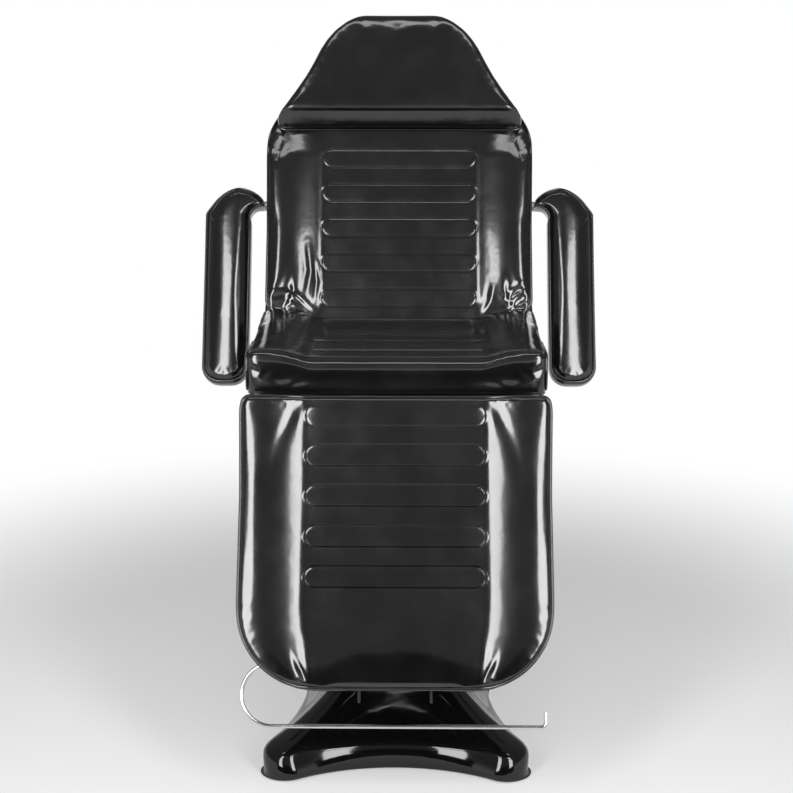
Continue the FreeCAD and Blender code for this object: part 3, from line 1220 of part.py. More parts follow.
def main():
    os.makedirs("parts", exist_ok=True)
    make_pads()
    make_seat_frame()
    make_hinge_pins()
    make_leg_frame()
    make_back_frame()
    make_armrests()
    make_roll_holder()
    make_springs()
    make_column()
    make_base_cover()
    make_base_frame()
    make_pedal()
    make_screws()
    print("leg hinge", LEG_HINGE, "back hinge", BACK_HINGE)
    spindle = turned_place((SPINDLE_PLACE, PAD_BOTTOM - TUBE / 2 - BACK_HINGE[1]), BACK_RISE_DEGREES)
    print("armrest spindle", round(BACK_HINGE[0] + spindle[0], 3), round(BACK_HINGE[1] + spindle[1], 3))
    bar = turned_place((-ROLL_PLACE - 2 * ROLL_LOOP_R, LEG_HINGE_DROP - ROLL_DEPTH), LEG_HANG_DEGREES)
    print("roll bar", round(LEG_HINGE[0] + bar[0], 3), round(LEG_HINGE[1] + bar[1], 3))


main()
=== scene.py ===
"""Looks of a black tattoo chair: padded vinyl, a gloss base cover, chromed steel and studio light."""

import json
import logging
import math
from dataclasses import dataclass, field
from enum import Enum
from typing import Mapping, Sequence

import bmesh
import bpy
import numpy as np
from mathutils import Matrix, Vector, noise
from mathutils.bvhtree import BVHTree
from mathutils.kdtree import KDTree


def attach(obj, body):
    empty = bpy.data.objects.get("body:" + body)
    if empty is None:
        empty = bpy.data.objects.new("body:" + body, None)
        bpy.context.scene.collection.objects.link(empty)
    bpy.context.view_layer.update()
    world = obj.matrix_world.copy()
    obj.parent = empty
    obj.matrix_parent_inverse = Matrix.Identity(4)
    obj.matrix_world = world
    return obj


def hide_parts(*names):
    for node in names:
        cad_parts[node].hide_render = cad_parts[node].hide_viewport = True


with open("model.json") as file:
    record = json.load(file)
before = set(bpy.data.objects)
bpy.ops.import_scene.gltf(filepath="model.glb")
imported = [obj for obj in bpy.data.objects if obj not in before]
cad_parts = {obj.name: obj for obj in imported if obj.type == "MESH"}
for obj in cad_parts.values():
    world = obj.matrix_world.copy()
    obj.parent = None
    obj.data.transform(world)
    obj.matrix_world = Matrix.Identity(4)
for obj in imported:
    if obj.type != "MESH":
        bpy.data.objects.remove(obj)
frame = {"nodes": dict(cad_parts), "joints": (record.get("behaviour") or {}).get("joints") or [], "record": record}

LOG = logging.getLogger("tattoo_chair")
MM = 0.001
# Points nearer to each other than this are one point
WELD = 0.02 * MM
# The step of the points along a seam
SEAM_STEP = 6 * MM
# Lengths below this count as none
TINY = 1e-9
# Points within this distance of a cut lie on it
ON_CUT = 1e-7
FEWEST_POINTS = 4
TUBE_ROUNDING = 3
# Nearly all of a noise texture's values lie in this span
NOISE_SPAN = {"From Min": 0.3, "From Max": 0.7}

Cell = tuple[float, float, float]
Faces = Sequence[Sequence[int]]
Seam = tuple[np.ndarray, bool]


# Numbers and colours


def linear(code: str) -> tuple[float, float, float, float]:
    """Turns an sRGB hex colour into the linear values that shaders use.

    Args:
        code: six hex digits with a leading hash.

    Returns:
        Linear red, green, blue and an alpha of one.
    """
    values = [int(code[k : k + 2], 16) / 255 for k in (1, 3, 5)]
    red, green, blue = (v / 12.92 if v <= 0.04045 else ((v + 0.055) / 1.055) ** 2.4 for v in values)
    return red, green, blue, 1.0


def smoothstep(low: float, high: float, value: np.ndarray) -> np.ndarray:
    """Goes from 0 at low to 1 at high with soft ends.

    Args:
        low: where the step starts.
        high: where it ends, which may be below low for a falling step.
        value: the places to measure.

    Returns:
        The step at each place.
    """
    share = np.clip((value - low) / (high - low), 0.0, 1.0)
    return share * share * (3 - 2 * share)


# Materials


class Space(Enum):
    """The coordinates that a pattern or a backdrop is laid in."""

    OBJECT = "Object"
    GENERATED = "Generated"


def add_node(
    tree: bpy.types.NodeTree,
    kind: str,
    inputs: Mapping[str | int, object] | None = None,
    **settings: object,
) -> bpy.types.Node:
    """Adds a node with its settings, its values and its links.

    Args:
        tree: the node tree that gets the node.
        kind: the node's type, without the ShaderNode prefix.
        inputs: a value or an output socket for each input, by name or number.
        **settings: the node's own properties.

    Returns:
        The new node.
    """
    node = tree.nodes.new(f"ShaderNode{kind}")
    for name, value in settings.items():
        setattr(node, name, value)
    for socket, value in (inputs or {}).items():
        if isinstance(value, bpy.types.NodeSocket):
            tree.links.new(value, node.inputs[socket])
        else:
            node.inputs[socket].default_value = value
    return node


def in_cells(tree: bpy.types.NodeTree, cell: Cell) -> bpy.types.NodeSocket:
    """Counts an object's coordinates in pattern cells.

    Args:
        tree: the material's node tree.
        cell: the length of one cell along each axis, in metres.

    Returns:
        The scaled coordinates.
    """
    place = add_node(tree, "TexCoord").outputs[Space.OBJECT.value]
    counts = tuple(1 / size for size in cell)
    return add_node(tree, "VectorMath", {0: place, 1: counts}, operation="MULTIPLY").outputs[0]


@dataclass(frozen=True)
class Pattern:
    """A soft irregular pattern with cells of a real size, and its finer layers."""

    cell: Cell
    detail: float

    def lay(self, tree: bpy.types.NodeTree) -> bpy.types.NodeSocket:
        """Adds the pattern to a material.

        Args:
            tree: the material's node tree.

        Returns:
            Its strength, from 0 to 1.
        """
        values = {"Vector": in_cells(tree, self.cell), "Scale": 1.0, "Detail": self.detail}
        return add_node(tree, "TexNoise", values).outputs[0]


@dataclass(frozen=True)
class Finish:
    """A surface finish: one material with its own colour, gloss and relief."""

    name: str
    colour: str
    roughness: float

    def build(self) -> bpy.types.Material:
        """Makes the material.

        Returns:
            A material with a Principled surface.
        """
        material = bpy.data.materials.new(self.name)
        material.use_nodes = True
        tree = material.node_tree
        tree.nodes.clear()
        values = {"Base Color": linear(self.colour), "Roughness": self.roughness}
        shader = add_node(tree, "BsdfPrincipled", values)
        add_node(tree, "OutputMaterial", {"Surface": shader.outputs["BSDF"]})
        self.dress(tree, shader)
        return material

    def dress(self, tree: bpy.types.NodeTree, shader: bpy.types.Node) -> None:
        """Adds what makes this finish more than a flat colour.

        Args:
            tree: the material's node tree.
            shader: its Principled shader.
        """

    def wear(
        self, tree: bpy.types.NodeTree, shader: bpy.types.Node, patches: Pattern, change: tuple[float, float]
    ) -> None:
        """Makes the surface shinier in some patches than in others.

        Args:
            tree: the material's node tree.
            shader: its Principled shader.
            patches: where the patches lie.
            change: what the shiniest and the mattest patch add to the roughness.
        """
        low, high = (self.roughness + step for step in change)
        values = {"Value": patches.lay(tree), **NOISE_SPAN, "To Min": low, "To Max": high}
        tree.links.new(add_node(tree, "MapRange", values).outputs["Result"], shader.inputs["Roughness"])

    @staticmethod
    def press(
        tree: bpy.types.NodeTree, shader: bpy.types.Node, height: bpy.types.NodeSocket, depth: float
    ) -> None:
        """Gives the surface a skin with relief of a real depth.

        Args:
            tree: the material's node tree.
            shader: its Principled shader.
            height: the relief, from 0 to 1.
            depth: its depth in metres.
        """
        values = {"Height": height, "Distance": depth, "Strength": 1.0}
        tree.links.new(add_node(tree, "Bump", values).outputs["Normal"], shader.inputs["Normal"])


@dataclass(frozen=True)
class CalenderedVinyl(Finish):
    """Black PVC-coated cloth: an embossed leather grain under a clear semi-gloss top coat."""

    # A real grain is finer than half a millimetre: this one is as coarse as it needs to be to show
    grain: float = 0.9 * MM
    grain_depth: float = 0.012 * MM
    grain_disorder: float = 0.9
    drape: Pattern = Pattern((38 * MM,) * 3, 2.5)
    drape_depth: float = 0.35 * MM
    patches: Pattern = Pattern((60 * MM,) * 3, 3.0)
    patch_change: tuple[float, float] = (-0.03, 0.05)
    index: float = 1.42
    coat: float = 0.8
    coat_roughness: float = 0.10

    def dress(self, tree: bpy.types.NodeTree, shader: bpy.types.Node) -> None:
        """Adds the embossed grain, the stretch marks and the clear coat.

        Args:
            tree: the material's node tree.
            shader: its Principled shader.
        """
        drape = {"Height": self.drape.lay(tree), "Distance": self.drape_depth, "Strength": 1.0}
        stretch = add_node(tree, "Bump", drape).outputs["Normal"]
        place = in_cells(tree, (self.grain,) * 3)
        cells = {"Vector": place, "Scale": 1.0, "Randomness": self.grain_disorder}
        height = add_node(tree, "TexVoronoi", cells, feature="SMOOTH_F1").outputs["Distance"]
        grain = {"Height": height, "Distance": self.grain_depth, "Strength": 1.0, "Normal": stretch}
        tree.links.new(add_node(tree, "Bump", grain).outputs["Normal"], shader.inputs["Normal"])
        tree.links.new(stretch, shader.inputs["Coat Normal"])
        self.wear(tree, shader, self.patches, self.patch_change)
        shader.inputs["IOR"].default_value = self.index
        shader.inputs["Coat Weight"].default_value = self.coat
        shader.inputs["Coat Roughness"].default_value = self.coat_roughness


@dataclass(frozen=True)
class VacuumFormedGloss(Finish):
    """Vacuum-formed black ABS: mirror gloss with a faint orange peel and fine dust."""

    peel: Pattern = Pattern((14 * MM,) * 3, 0.0)
    peel_depth: float = 0.04 * MM
    dust: Pattern = Pattern((45 * MM,) * 3, 6.0)
    dust_change: tuple[float, float] = (0.0, 0.06)

    def dress(self, tree: bpy.types.NodeTree, shader: bpy.types.Node) -> None:
        """Adds the orange peel and a thin veil of dust.

        Args:
            tree: the material's node tree.
            shader: its Principled shader.
        """
        self.press(tree, shader, self.peel.lay(tree), self.peel_depth)
        self.wear(tree, shader, self.dust, self.dust_change)


@dataclass(frozen=True)
class PowderCoat(Finish):
    """Black powder coat baked on steel tube: a fine pebbled skin, satin and even."""

    pebbles: Pattern = Pattern((0.7 * MM,) * 3, 1.0)
    pebble_depth: float = 0.03 * MM
    rubs: Pattern = Pattern((70 * MM,) * 3, 4.0)
    rub_change: tuple[float, float] = (-0.06, 0.08)

    def dress(self, tree: bpy.types.NodeTree, shader: bpy.types.Node) -> None:
        """Adds the pebbled skin and rubbed places.

        Args:
            tree: the material's node tree.
            shader: its Principled shader.
        """
        self.press(tree, shader, self.pebbles.lay(tree), self.pebble_depth)
        self.wear(tree, shader, self.rubs, self.rub_change)


@dataclass(frozen=True)
class PlatedSteel(Finish):
    """Steel with a metal plating: ground lines or fine crystals, and wiped-on haze."""

    lines: Pattern
    line_depth: float = 0.004 * MM
    haze: float = 0.06
    wiped: Pattern = Pattern((30 * MM,) * 3, 5.0)

    def dress(self, tree: bpy.types.NodeTree, shader: bpy.types.Node) -> None:
        """Adds the lines and the haze, and makes the surface metal.

        Args:
            tree: the material's node tree.
            shader: its Principled shader.
        """
        shader.inputs["Metallic"].default_value = 1.0
        self.press(tree, shader, self.lines.lay(tree), self.line_depth)
        self.wear(tree, shader, self.wiped, (0.0, self.haze))


@dataclass(frozen=True)
class StainedPly(Finish):
    """Birch plywood stained black: long grain lines stay paler and a little raised."""

    pale: str = "#2b2724"
    grain: Pattern = Pattern((160 * MM, 3 * MM, 3 * MM), 5.0)
    grain_depth: float = 0.12 * MM

    def dress(self, tree: bpy.types.NodeTree, shader: bpy.types.Node) -> None:
        """Adds the long grain.

        Args:
            tree: the material's node tree.
            shader: its Principled shader.
        """
        grain = self.grain.lay(tree)
        share = add_node(tree, "MapRange", {"Value": grain, **NOISE_SPAN}).outputs["Result"]
        # In colour mode this node takes its two colours at inputs 6 and 7 and gives one at output 2
        stain = {0: share, 6: linear(self.colour), 7: linear(self.pale)}
        mixed = add_node(tree, "Mix", stain, data_type="RGBA")
        tree.links.new(mixed.outputs[2], shader.inputs["Base Color"])
        self.press(tree, shader, grain, self.grain_depth)


@dataclass(frozen=True)
class MouldedRubber(Finish):
    """Moulded rubber or soft plastic: matt, with mould texture and grey scuffs."""

    scuff: str = "#2c2c2b"
    scuffs: Pattern = Pattern((18 * MM,) * 3, 7.0)
    scuff_start: float = 0.55
    skin: Pattern = Pattern((1.2 * MM,) * 3, 2.0)
    skin_depth: float = 0.05 * MM

    def dress(self, tree: bpy.types.NodeTree, shader: bpy.types.Node) -> None:
        """Adds scuffs and mould texture.

        Args:
            tree: the material's node tree.
            shader: its Principled shader.
        """
        share = add_node(tree, "MapRange", {"Value": self.scuffs.lay(tree), **NOISE_SPAN})
        ramp = add_node(tree, "ValToRGB", {"Fac": share.outputs["Result"]})
        clean, rubbed = ramp.color_ramp.elements
        clean.color = linear(self.colour)
        clean.position = self.scuff_start
        rubbed.color = linear(self.scuff)
        tree.links.new(ramp.outputs["Color"], shader.inputs["Base Color"])
        self.press(tree, shader, self.skin.lay(tree), self.skin_depth)


FINISHES = {
    # Stretched over foam it shows long soft-edged highlights on near black
    "vinyl": CalenderedVinyl("calendered black vinyl", "#080809", 0.19),
    # The cover mirrors the floor as a dark grey band and the lamps as hard white spots
    "gloss_cover": VacuumFormedGloss("vacuum-formed gloss ABS", "#0a0a0b", 0.045),
    # Under the pads the tubes are satin black and nearly vanish
    "frame_paint": PowderCoat("black powder-coated tube", "#161617", 0.42),
    # The ram, the spring rods and the paper-roll wire mirror the floor and a dark room above
    "bright_steel": PlatedSteel(
        "hard-chromed ground steel", "#cfd0d2", 0.12, Pattern((0.6 * MM, 0.6 * MM, 30 * MM), 2.0)
    ),
    # The pump parts and bolts have the soft grey of zinc plating
    "plain_steel": PlatedSteel(
        "zinc-plated steel", "#a9acb0", 0.32, Pattern((2 * MM,) * 3, 2.0), line_depth=0.02 * MM, haze=0.12
    ),
    # From below the boards are brown-black, with thin paler grain and no shine
    "board": StainedPly("black-stained birch plywood", "#141211", 0.62),
    # The feet and the pedal pad show no highlights, only greyer rubbed spots
    "foot_rubber": MouldedRubber("moulded black rubber", "#131313", 0.82),
    # The lever grips have a broad dull sheen and hardly any scuffs
    "grip": MouldedRubber("moulded matt plastic grip", "#18181a", 0.52, "#232324"),
}


@dataclass
class Wardrobe:
    """The finishes of all pieces, made once and shared."""

    made: dict[str, bpy.types.Material] = field(default_factory=dict)

    def material(self, slot: str) -> bpy.types.Material:
        """The material of one slot.

        Args:
            slot: the record's slot name.

        Returns:
            The material, made on first use.
        """
        if slot not in self.made:
            self.made[slot] = FINISHES[slot].build()
        return self.made[slot]

    def dress(self, obj: bpy.types.Object, slot: str) -> None:
        """Gives an object one finish.

        Args:
            obj: the object.
            slot: the record's slot name.
        """
        obj.data.materials.clear()
        obj.data.materials.append(self.material(slot))

    def dress_nodes(self) -> None:
        """Gives every CAD node the finish that the record names for it."""
        slots = {part["node"]: part["material_slot"] for part in frame["record"]["subparts"]}
        for name, node in frame["nodes"].items():
            self.dress(node, slots[name])
            LOG.info("node %s: %s", name, FINISHES[slots[name]].name)


# Shapes


def mesh_object(name: str, points: np.ndarray, faces: Faces) -> bpy.types.Object:
    """Makes a mesh object.

    Args:
        name: its name.
        points: the vertices, one row each.
        faces: the corners of each face.

    Returns:
        The object, linked to the scene.
    """
    mesh = bpy.data.meshes.new(name)
    mesh.from_pydata(points.tolist(), [], [list(f) for f in faces])
    mesh.validate()
    obj = bpy.data.objects.new(name, mesh)
    bpy.context.scene.collection.objects.link(obj)
    return obj


def read_points(mesh: bpy.types.Mesh) -> np.ndarray:
    """The vertices of a mesh, one row each.

    Args:
        mesh: the mesh.

    Returns:
        The points.
    """
    points = np.empty(len(mesh.vertices) * 3, dtype=np.float32)
    mesh.vertices.foreach_get("co", points)
    return points.reshape(-1, 3).astype(float)


def write_points(mesh: bpy.types.Mesh, points: np.ndarray) -> None:
    """Puts new vertex places into a mesh.

    Args:
        mesh: the mesh.
        points: the new points, one row each.
    """
    mesh.vertices.foreach_set("co", points.astype(np.float32).ravel())
    mesh.update()


def read_normals(mesh: bpy.types.Mesh) -> np.ndarray:
    """The vertex normals of a mesh, one row each.

    Args:
        mesh: the mesh.

    Returns:
        The unit normals.
    """
    normals = np.empty(len(mesh.vertices) * 3, dtype=np.float32)
    mesh.vertices.foreach_get("normal", normals)
    return normals.reshape(-1, 3).astype(float)


def bake(obj: bpy.types.Object) -> None:
    """Applies all modifiers of an object to its mesh.

    Args:
        obj: the object.
    """
    bpy.context.view_layer.update()
    evaluated = obj.evaluated_get(bpy.context.evaluated_depsgraph_get())
    mesh = bpy.data.meshes.new_from_object(evaluated)
    old = obj.data
    obj.modifiers.clear()
    obj.data = mesh
    bpy.data.meshes.remove(old)


def shade_smooth(obj: bpy.types.Object) -> None:
    """Shades every face of a mesh object smooth.

    Args:
        obj: the object.
    """
    obj.data.polygons.foreach_set("use_smooth", [True] * len(obj.data.polygons))


def cut_loop(points: np.ndarray, faces: Faces, place: Vector, normal: Vector) -> np.ndarray:
    """The longest closed line in which a plane cuts a mesh.

    Args:
        points: the mesh's vertices.
        faces: its faces.
        place: a point of the plane.
        normal: the plane's normal.

    Returns:
        The line's points in order, one row each.
    """
    work = bmesh.new()
    corners = [work.verts.new(p) for p in points]
    for face in faces:
        if len(set(face)) == len(face):
            try:
                work.faces.new([corners[k] for k in face])
            except ValueError:
                continue
    bmesh.ops.remove_doubles(work, verts=work.verts, dist=WELD)
    geometry = work.verts[:] + work.edges[:] + work.faces[:]
    halves = bmesh.ops.bisect_plane(work, geom=geometry, dist=ON_CUT, plane_co=place, plane_no=normal)
    cut = halves["geom_cut"]
    ends: dict[bmesh.types.BMVert, list[bmesh.types.BMVert]] = {}
    for edge in (g for g in cut if isinstance(g, bmesh.types.BMEdge)):
        first, second = edge.verts
        ends.setdefault(first, []).append(second)
        ends.setdefault(second, []).append(first)
    longest: list[Vector] = []
    while ends:
        start = next(iter(ends))
        walk, here = [start.co.copy()], start
        while here in ends and ends[here]:
            there = ends[here].pop()
            if here in ends.get(there, []):
                ends[there].remove(here)
            if not ends[here]:
                del ends[here]
            here = there
            walk.append(here.co.copy())
        if here in ends and not ends[here]:
            del ends[here]
        if length_of(walk) > length_of(longest):
            longest = walk
    work.free()
    return np.array([tuple(p) for p in longest])


def length_of(line: Sequence[Vector]) -> float:
    """The length of a line through points.

    Args:
        line: the points.

    Returns:
        The length.
    """
    return sum((b - a).length for a, b in zip(line, line[1:]))


def resample(line: np.ndarray, step: float, closed: bool) -> np.ndarray:
    """Points at equal distances along a line.

    Args:
        line: the line's points.
        step: about how far apart the new points are.
        closed: whether the line returns to its start.

    Returns:
        The new points, without a doubled last one where closed.
    """
    if closed and np.linalg.norm(line[0] - line[-1]) > TINY:
        line = np.vstack([line, line[:1]])
    run = np.concatenate([[0.0], np.cumsum(np.linalg.norm(np.diff(line, axis=0), axis=1))])
    count = max(int(round(run[-1] / step)), FEWEST_POINTS)
    marks = np.linspace(0, run[-1], count + 1)
    if closed:
        marks = marks[:-1]
    return np.column_stack([np.interp(marks, run, line[:, k]) for k in range(3)])


def eased(line: np.ndarray, rounds: int, closed: bool) -> np.ndarray:
    """A line with its small kinks smoothed out.

    Args:
        line: the line's points.
        rounds: how often each point moves toward its neighbours.
        closed: whether the line returns to its start.

    Returns:
        The smoothed points.
    """
    line = line.copy()
    for _ in range(rounds):
        mean = (np.roll(line, 1, axis=0) + 2 * line + np.roll(line, -1, axis=0)) / 4
        if not closed:
            mean[0], mean[-1] = line[0], line[-1]
        line = mean
    return line


def piping_tube(name: str, line: np.ndarray, radius: float, closed: bool) -> bpy.types.Object:
    """A round tube along a line.

    Args:
        name: the object's name.
        line: the points of its middle.
        radius: its radius.
        closed: whether it returns to its start.

    Returns:
        The tube as a mesh object.
    """
    curve = bpy.data.curves.new(name, "CURVE")
    curve.dimensions = "3D"
    curve.bevel_depth = radius
    curve.bevel_resolution = TUBE_ROUNDING
    curve.use_fill_caps = True
    spline = curve.splines.new("POLY")
    spline.points.add(len(line) - 1)
    for target, place in zip(spline.points, line):
        target.co = (*place, 1.0)
    spline.use_cyclic_u = closed
    holder = bpy.data.objects.new(name, curve)
    bpy.context.scene.collection.objects.link(holder)
    bpy.context.view_layer.update()
    evaluated = holder.evaluated_get(bpy.context.evaluated_depsgraph_get())
    mesh = bpy.data.meshes.new_from_object(evaluated)
    bpy.data.objects.remove(holder)
    bpy.data.curves.remove(curve)
    mesh.name = name
    tube = bpy.data.objects.new(name, mesh)
    bpy.context.scene.collection.objects.link(tube)
    shade_smooth(tube)
    return tube


def distance_to(points: np.ndarray, lines: list[Seam], step: float = 2 * MM) -> np.ndarray:
    """How far points are from the nearest of several lines.

    Args:
        points: the points.
        lines: the lines, and whether each is closed.
        step: the distance between the marks that stand for a line.

    Returns:
        The distances, one for each point.
    """
    marks = [mark for line, closed in lines for mark in resample(line, step, closed)]
    tree = KDTree(len(marks))
    for k, mark in enumerate(marks):
        tree.insert(mark, k)
    tree.balance()
    return np.array([tree.find(p)[2] for p in points])


@dataclass(frozen=True)
class PadPlane:
    """Where a section turns, and how far it is turned from level at rest."""

    pivot: tuple[float, float]
    angle: float

    @classmethod
    def of_joint(cls, name: str) -> "PadPlane":
        """Reads a section's hinge from the record.

        Args:
            name: the joint whose upper limit brings the section level.

        Returns:
            The section's plane.
        """
        joint = next(j for j in frame["joints"] if j["name"] == name)
        return cls((joint["pos_m"][1], joint["pos_m"][2]), math.radians(joint["range_deg"][1]))

    def turned(self, points: np.ndarray, angle: float) -> np.ndarray:
        """Points turned about the hinge.

        Args:
            points: the points, one row each.
            angle: the turn about X in radians.

        Returns:
            The turned points.
        """
        y, z = points[:, 1] - self.pivot[0], points[:, 2] - self.pivot[1]
        cosine, sine = math.cos(angle), math.sin(angle)
        return np.column_stack(
            [points[:, 0], self.pivot[0] + y * cosine - z * sine, self.pivot[1] + y * sine + z * cosine]
        )

    def level(self, points: np.ndarray) -> np.ndarray:
        """Points of the section at rest, as they are with the section level.

        Args:
            points: the points in the row frame.

        Returns:
            The level points.
        """
        return self.turned(points, -self.angle)

    def at_rest(self, points: np.ndarray) -> np.ndarray:
        """Level points brought to where the section is at rest.

        Args:
            points: the level points.

        Returns:
            The points in the row frame.
        """
        return self.turned(points, self.angle)


@dataclass(frozen=True)
class Fold:
    """A crease in the vinyl: a rounded ridge along a line, with a valley beside it."""

    line: tuple[tuple[float, float], ...]
    height: float
    width: float
    # The valley's place and depth beside the ridge, and how the crease runs out
    trough_shift: float = 1.7
    trough_share: float = 0.6
    tip: float = 0.02
    taper: float = 0.7

    def lift(self, x: np.ndarray, y: np.ndarray) -> np.ndarray:
        """How far the crease lifts each point.

        Args:
            x: places across the pad.
            y: places along the pad.

        Returns:
            The lift in metres.
        """
        best = np.full(len(x), np.inf)
        side = np.zeros(len(x))
        along = np.zeros(len(x))
        total = len(self.line) - 1
        for k, ((x0, y0), (x1, y1)) in enumerate(zip(self.line, self.line[1:])):
            dx, dy = x1 - x0, y1 - y0
            share = np.clip(((x - x0) * dx + (y - y0) * dy) / (dx * dx + dy * dy), 0, 1)
            gap = np.hypot(x - x0 - share * dx, y - y0 - share * dy)
            near = gap < best
            best = np.where(near, gap, best)
            side = np.where(near, np.sign((x - x0) * dy - (y - y0) * dx), side)
            along = np.where(near, (k + share) / total, along)
        fade = np.sin(np.pi * np.clip(along, self.tip, 1 - self.tip)) ** self.taper
        ridge = np.exp(-((best / self.width) ** 2))
        trough = np.exp(-(((side * best + self.trough_shift * self.width) / self.width) ** 2))
        return self.height * fade * (ridge - self.trough_share * trough)


@dataclass
class Pad:
    """A vinyl pad over foam, made from the shape that its CAD solid holds."""

    node: str
    body: str
    plane: PadPlane
    fill: float
    # The even mesh that the vinyl starts from
    voxel: float = 5 * MM
    shrink: float = 0.6 * MM
    soften: float = 0.5
    soften_rounds: int = 4
    # Where it is glued to the board or drawn down by a seam
    glued_height: float = 6 * MM
    seam_drop: float = 6 * MM
    seam_reach: float = 4 * MM
    seam_depth: float = 1.2 * MM
    seam_width: float = 5 * MM
    # How the foam pushes it outwards, and at most how far
    cloth_steps: int = 20
    cloth_quality: int = 3
    cloth_mass: float = 0.3
    stiffness: float = 25.0
    bending: float = 3.0
    pressure: float = 4.0
    cap: float = 3 * MM
    # The waviness of foam under vinyl
    ripple: float = 0.5 * MM
    ripples_per_metre: tuple[float, float, float] = (16, 9, 9)
    ripple_fade: float = 20 * MM
    # How much a normal has to point up where the sewn pattern starts and where it is whole
    top_facing: tuple[float, float] = (0.2, 0.7)
    outline_rounds: int = 3
    piping_radius: float = 3.0 * MM
    piping_inset: float = 4.2 * MM
    folds: tuple[Fold, ...] = ()
    low: np.ndarray = field(init=False)
    high: np.ndarray = field(init=False)

    def build(self, wardrobe: Wardrobe) -> bpy.types.Object:
        """Makes the pad and its piping and puts them on their body.

        Args:
            wardrobe: the finishes.

        Returns:
            The pad.
        """
        name = f"{self.node}_cover"
        source = frame["nodes"][self.node].data
        points = self.plane.level(read_points(source))
        faces = [tuple(p.vertices) for p in source.polygons]
        self.low, self.high = points.min(axis=0), points.max(axis=0)
        lines = self.piping_lines(points, faces)
        pad = mesh_object(name, self.plain(points), faces)
        self.remesh(pad)
        self.settle_piping(pad, lines)
        self.stuff(pad, lines)
        pad.modifiers.new("smooth seams", "SUBSURF").levels = 1
        bake(pad)
        self.finish_surface(pad, lines)
        write_points(pad.data, self.plane.at_rest(read_points(pad.data)))
        shade_smooth(pad)
        wardrobe.dress(pad, "vinyl")
        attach(pad, self.body)
        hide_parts(self.node)
        for number, (line, closed) in enumerate(lines):
            place = self.plane.at_rest(line)
            tube = piping_tube(f"{self.node}_piping_{number}", place, self.piping_radius, closed)
            wardrobe.dress(tube, "vinyl")
            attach(tube, self.body)
        LOG.info("pad %s: %d vertices, %d piping lines", name, len(pad.data.vertices), len(lines))
        return pad

    def plain(self, points: np.ndarray) -> np.ndarray:
        """The CAD shape without the relief that is modelled again more finely.

        Args:
            points: the level points.

        Returns:
            The points to start from.
        """
        return points

    def remesh(self, pad: bpy.types.Object) -> None:
        """Gives the pad an even mesh that is slightly smaller than its solid.

        Args:
            pad: the pad, level.
        """
        work = bmesh.new()
        work.from_mesh(pad.data)
        bmesh.ops.remove_doubles(work, verts=work.verts, dist=WELD)
        work.to_mesh(pad.data)
        work.free()
        even = pad.modifiers.new("even mesh", "REMESH")
        even.mode = "VOXEL"
        even.voxel_size = self.voxel
        bake(pad)
        soft = pad.modifiers.new("soft edges", "SMOOTH")
        soft.factor = self.soften
        soft.iterations = self.soften_rounds
        bake(pad)
        points, normals = read_points(pad.data), read_normals(pad.data)
        write_points(pad.data, points - self.shrink * normals)

    def outline(self, points: np.ndarray, faces: Faces, height: float) -> np.ndarray:
        """The pad's outline at a height, as an even line.

        Args:
            points: the level points.
            faces: the faces.
            height: the height of the cut.

        Returns:
            The line's points.
        """
        loop = cut_loop(points, faces, Vector((0, 0, height)), Vector((0, 0, 1)))
        return eased(resample(loop, SEAM_STEP, True), self.outline_rounds, True)

    @staticmethod
    def drawn_in(line: np.ndarray, inset: float) -> np.ndarray:
        """A closed level line moved inwards.

        Args:
            line: the line's points.
            inset: how far.

        Returns:
            The moved points.
        """
        along = np.roll(line, -1, axis=0) - np.roll(line, 1, axis=0)
        across = np.column_stack([-along[:, 1], along[:, 0], np.zeros(len(line))])
        across /= np.linalg.norm(across, axis=1)[:, None]
        area = np.sum(line[:, 0] * np.roll(line[:, 1], -1) - np.roll(line[:, 0], -1) * line[:, 1])
        return line + across * (inset if area > 0 else -inset)

    def piping_lines(self, points: np.ndarray, faces: Faces) -> list[Seam]:
        """The lines on which the pad's piping is sewn, seen from above.

        Args:
            points: the level points.
            faces: the faces.

        Returns:
            Each line and whether it is closed.
        """
        middle = (self.low[2] + self.high[2]) / 2 - self.seam_drop
        return [(self.drawn_in(self.outline(points, faces, middle), self.piping_inset), True)]

    def settle_piping(self, pad: bpy.types.Object, lines: list[Seam]) -> None:
        """Lays the piping lines on the pad, where they don't lie on it yet.

        Args:
            pad: the pad, level.
            lines: the piping lines, which are changed.
        """

    def sewn(self, points: np.ndarray, lines: list[Seam]) -> np.ndarray:
        """Which points are held down by the board or a seam.

        Args:
            points: the level points.
            lines: the piping lines.

        Returns:
            True for each held point.
        """
        held = points[:, 2] < self.low[2] + self.glued_height
        return held | (distance_to(points, lines) < self.seam_reach)

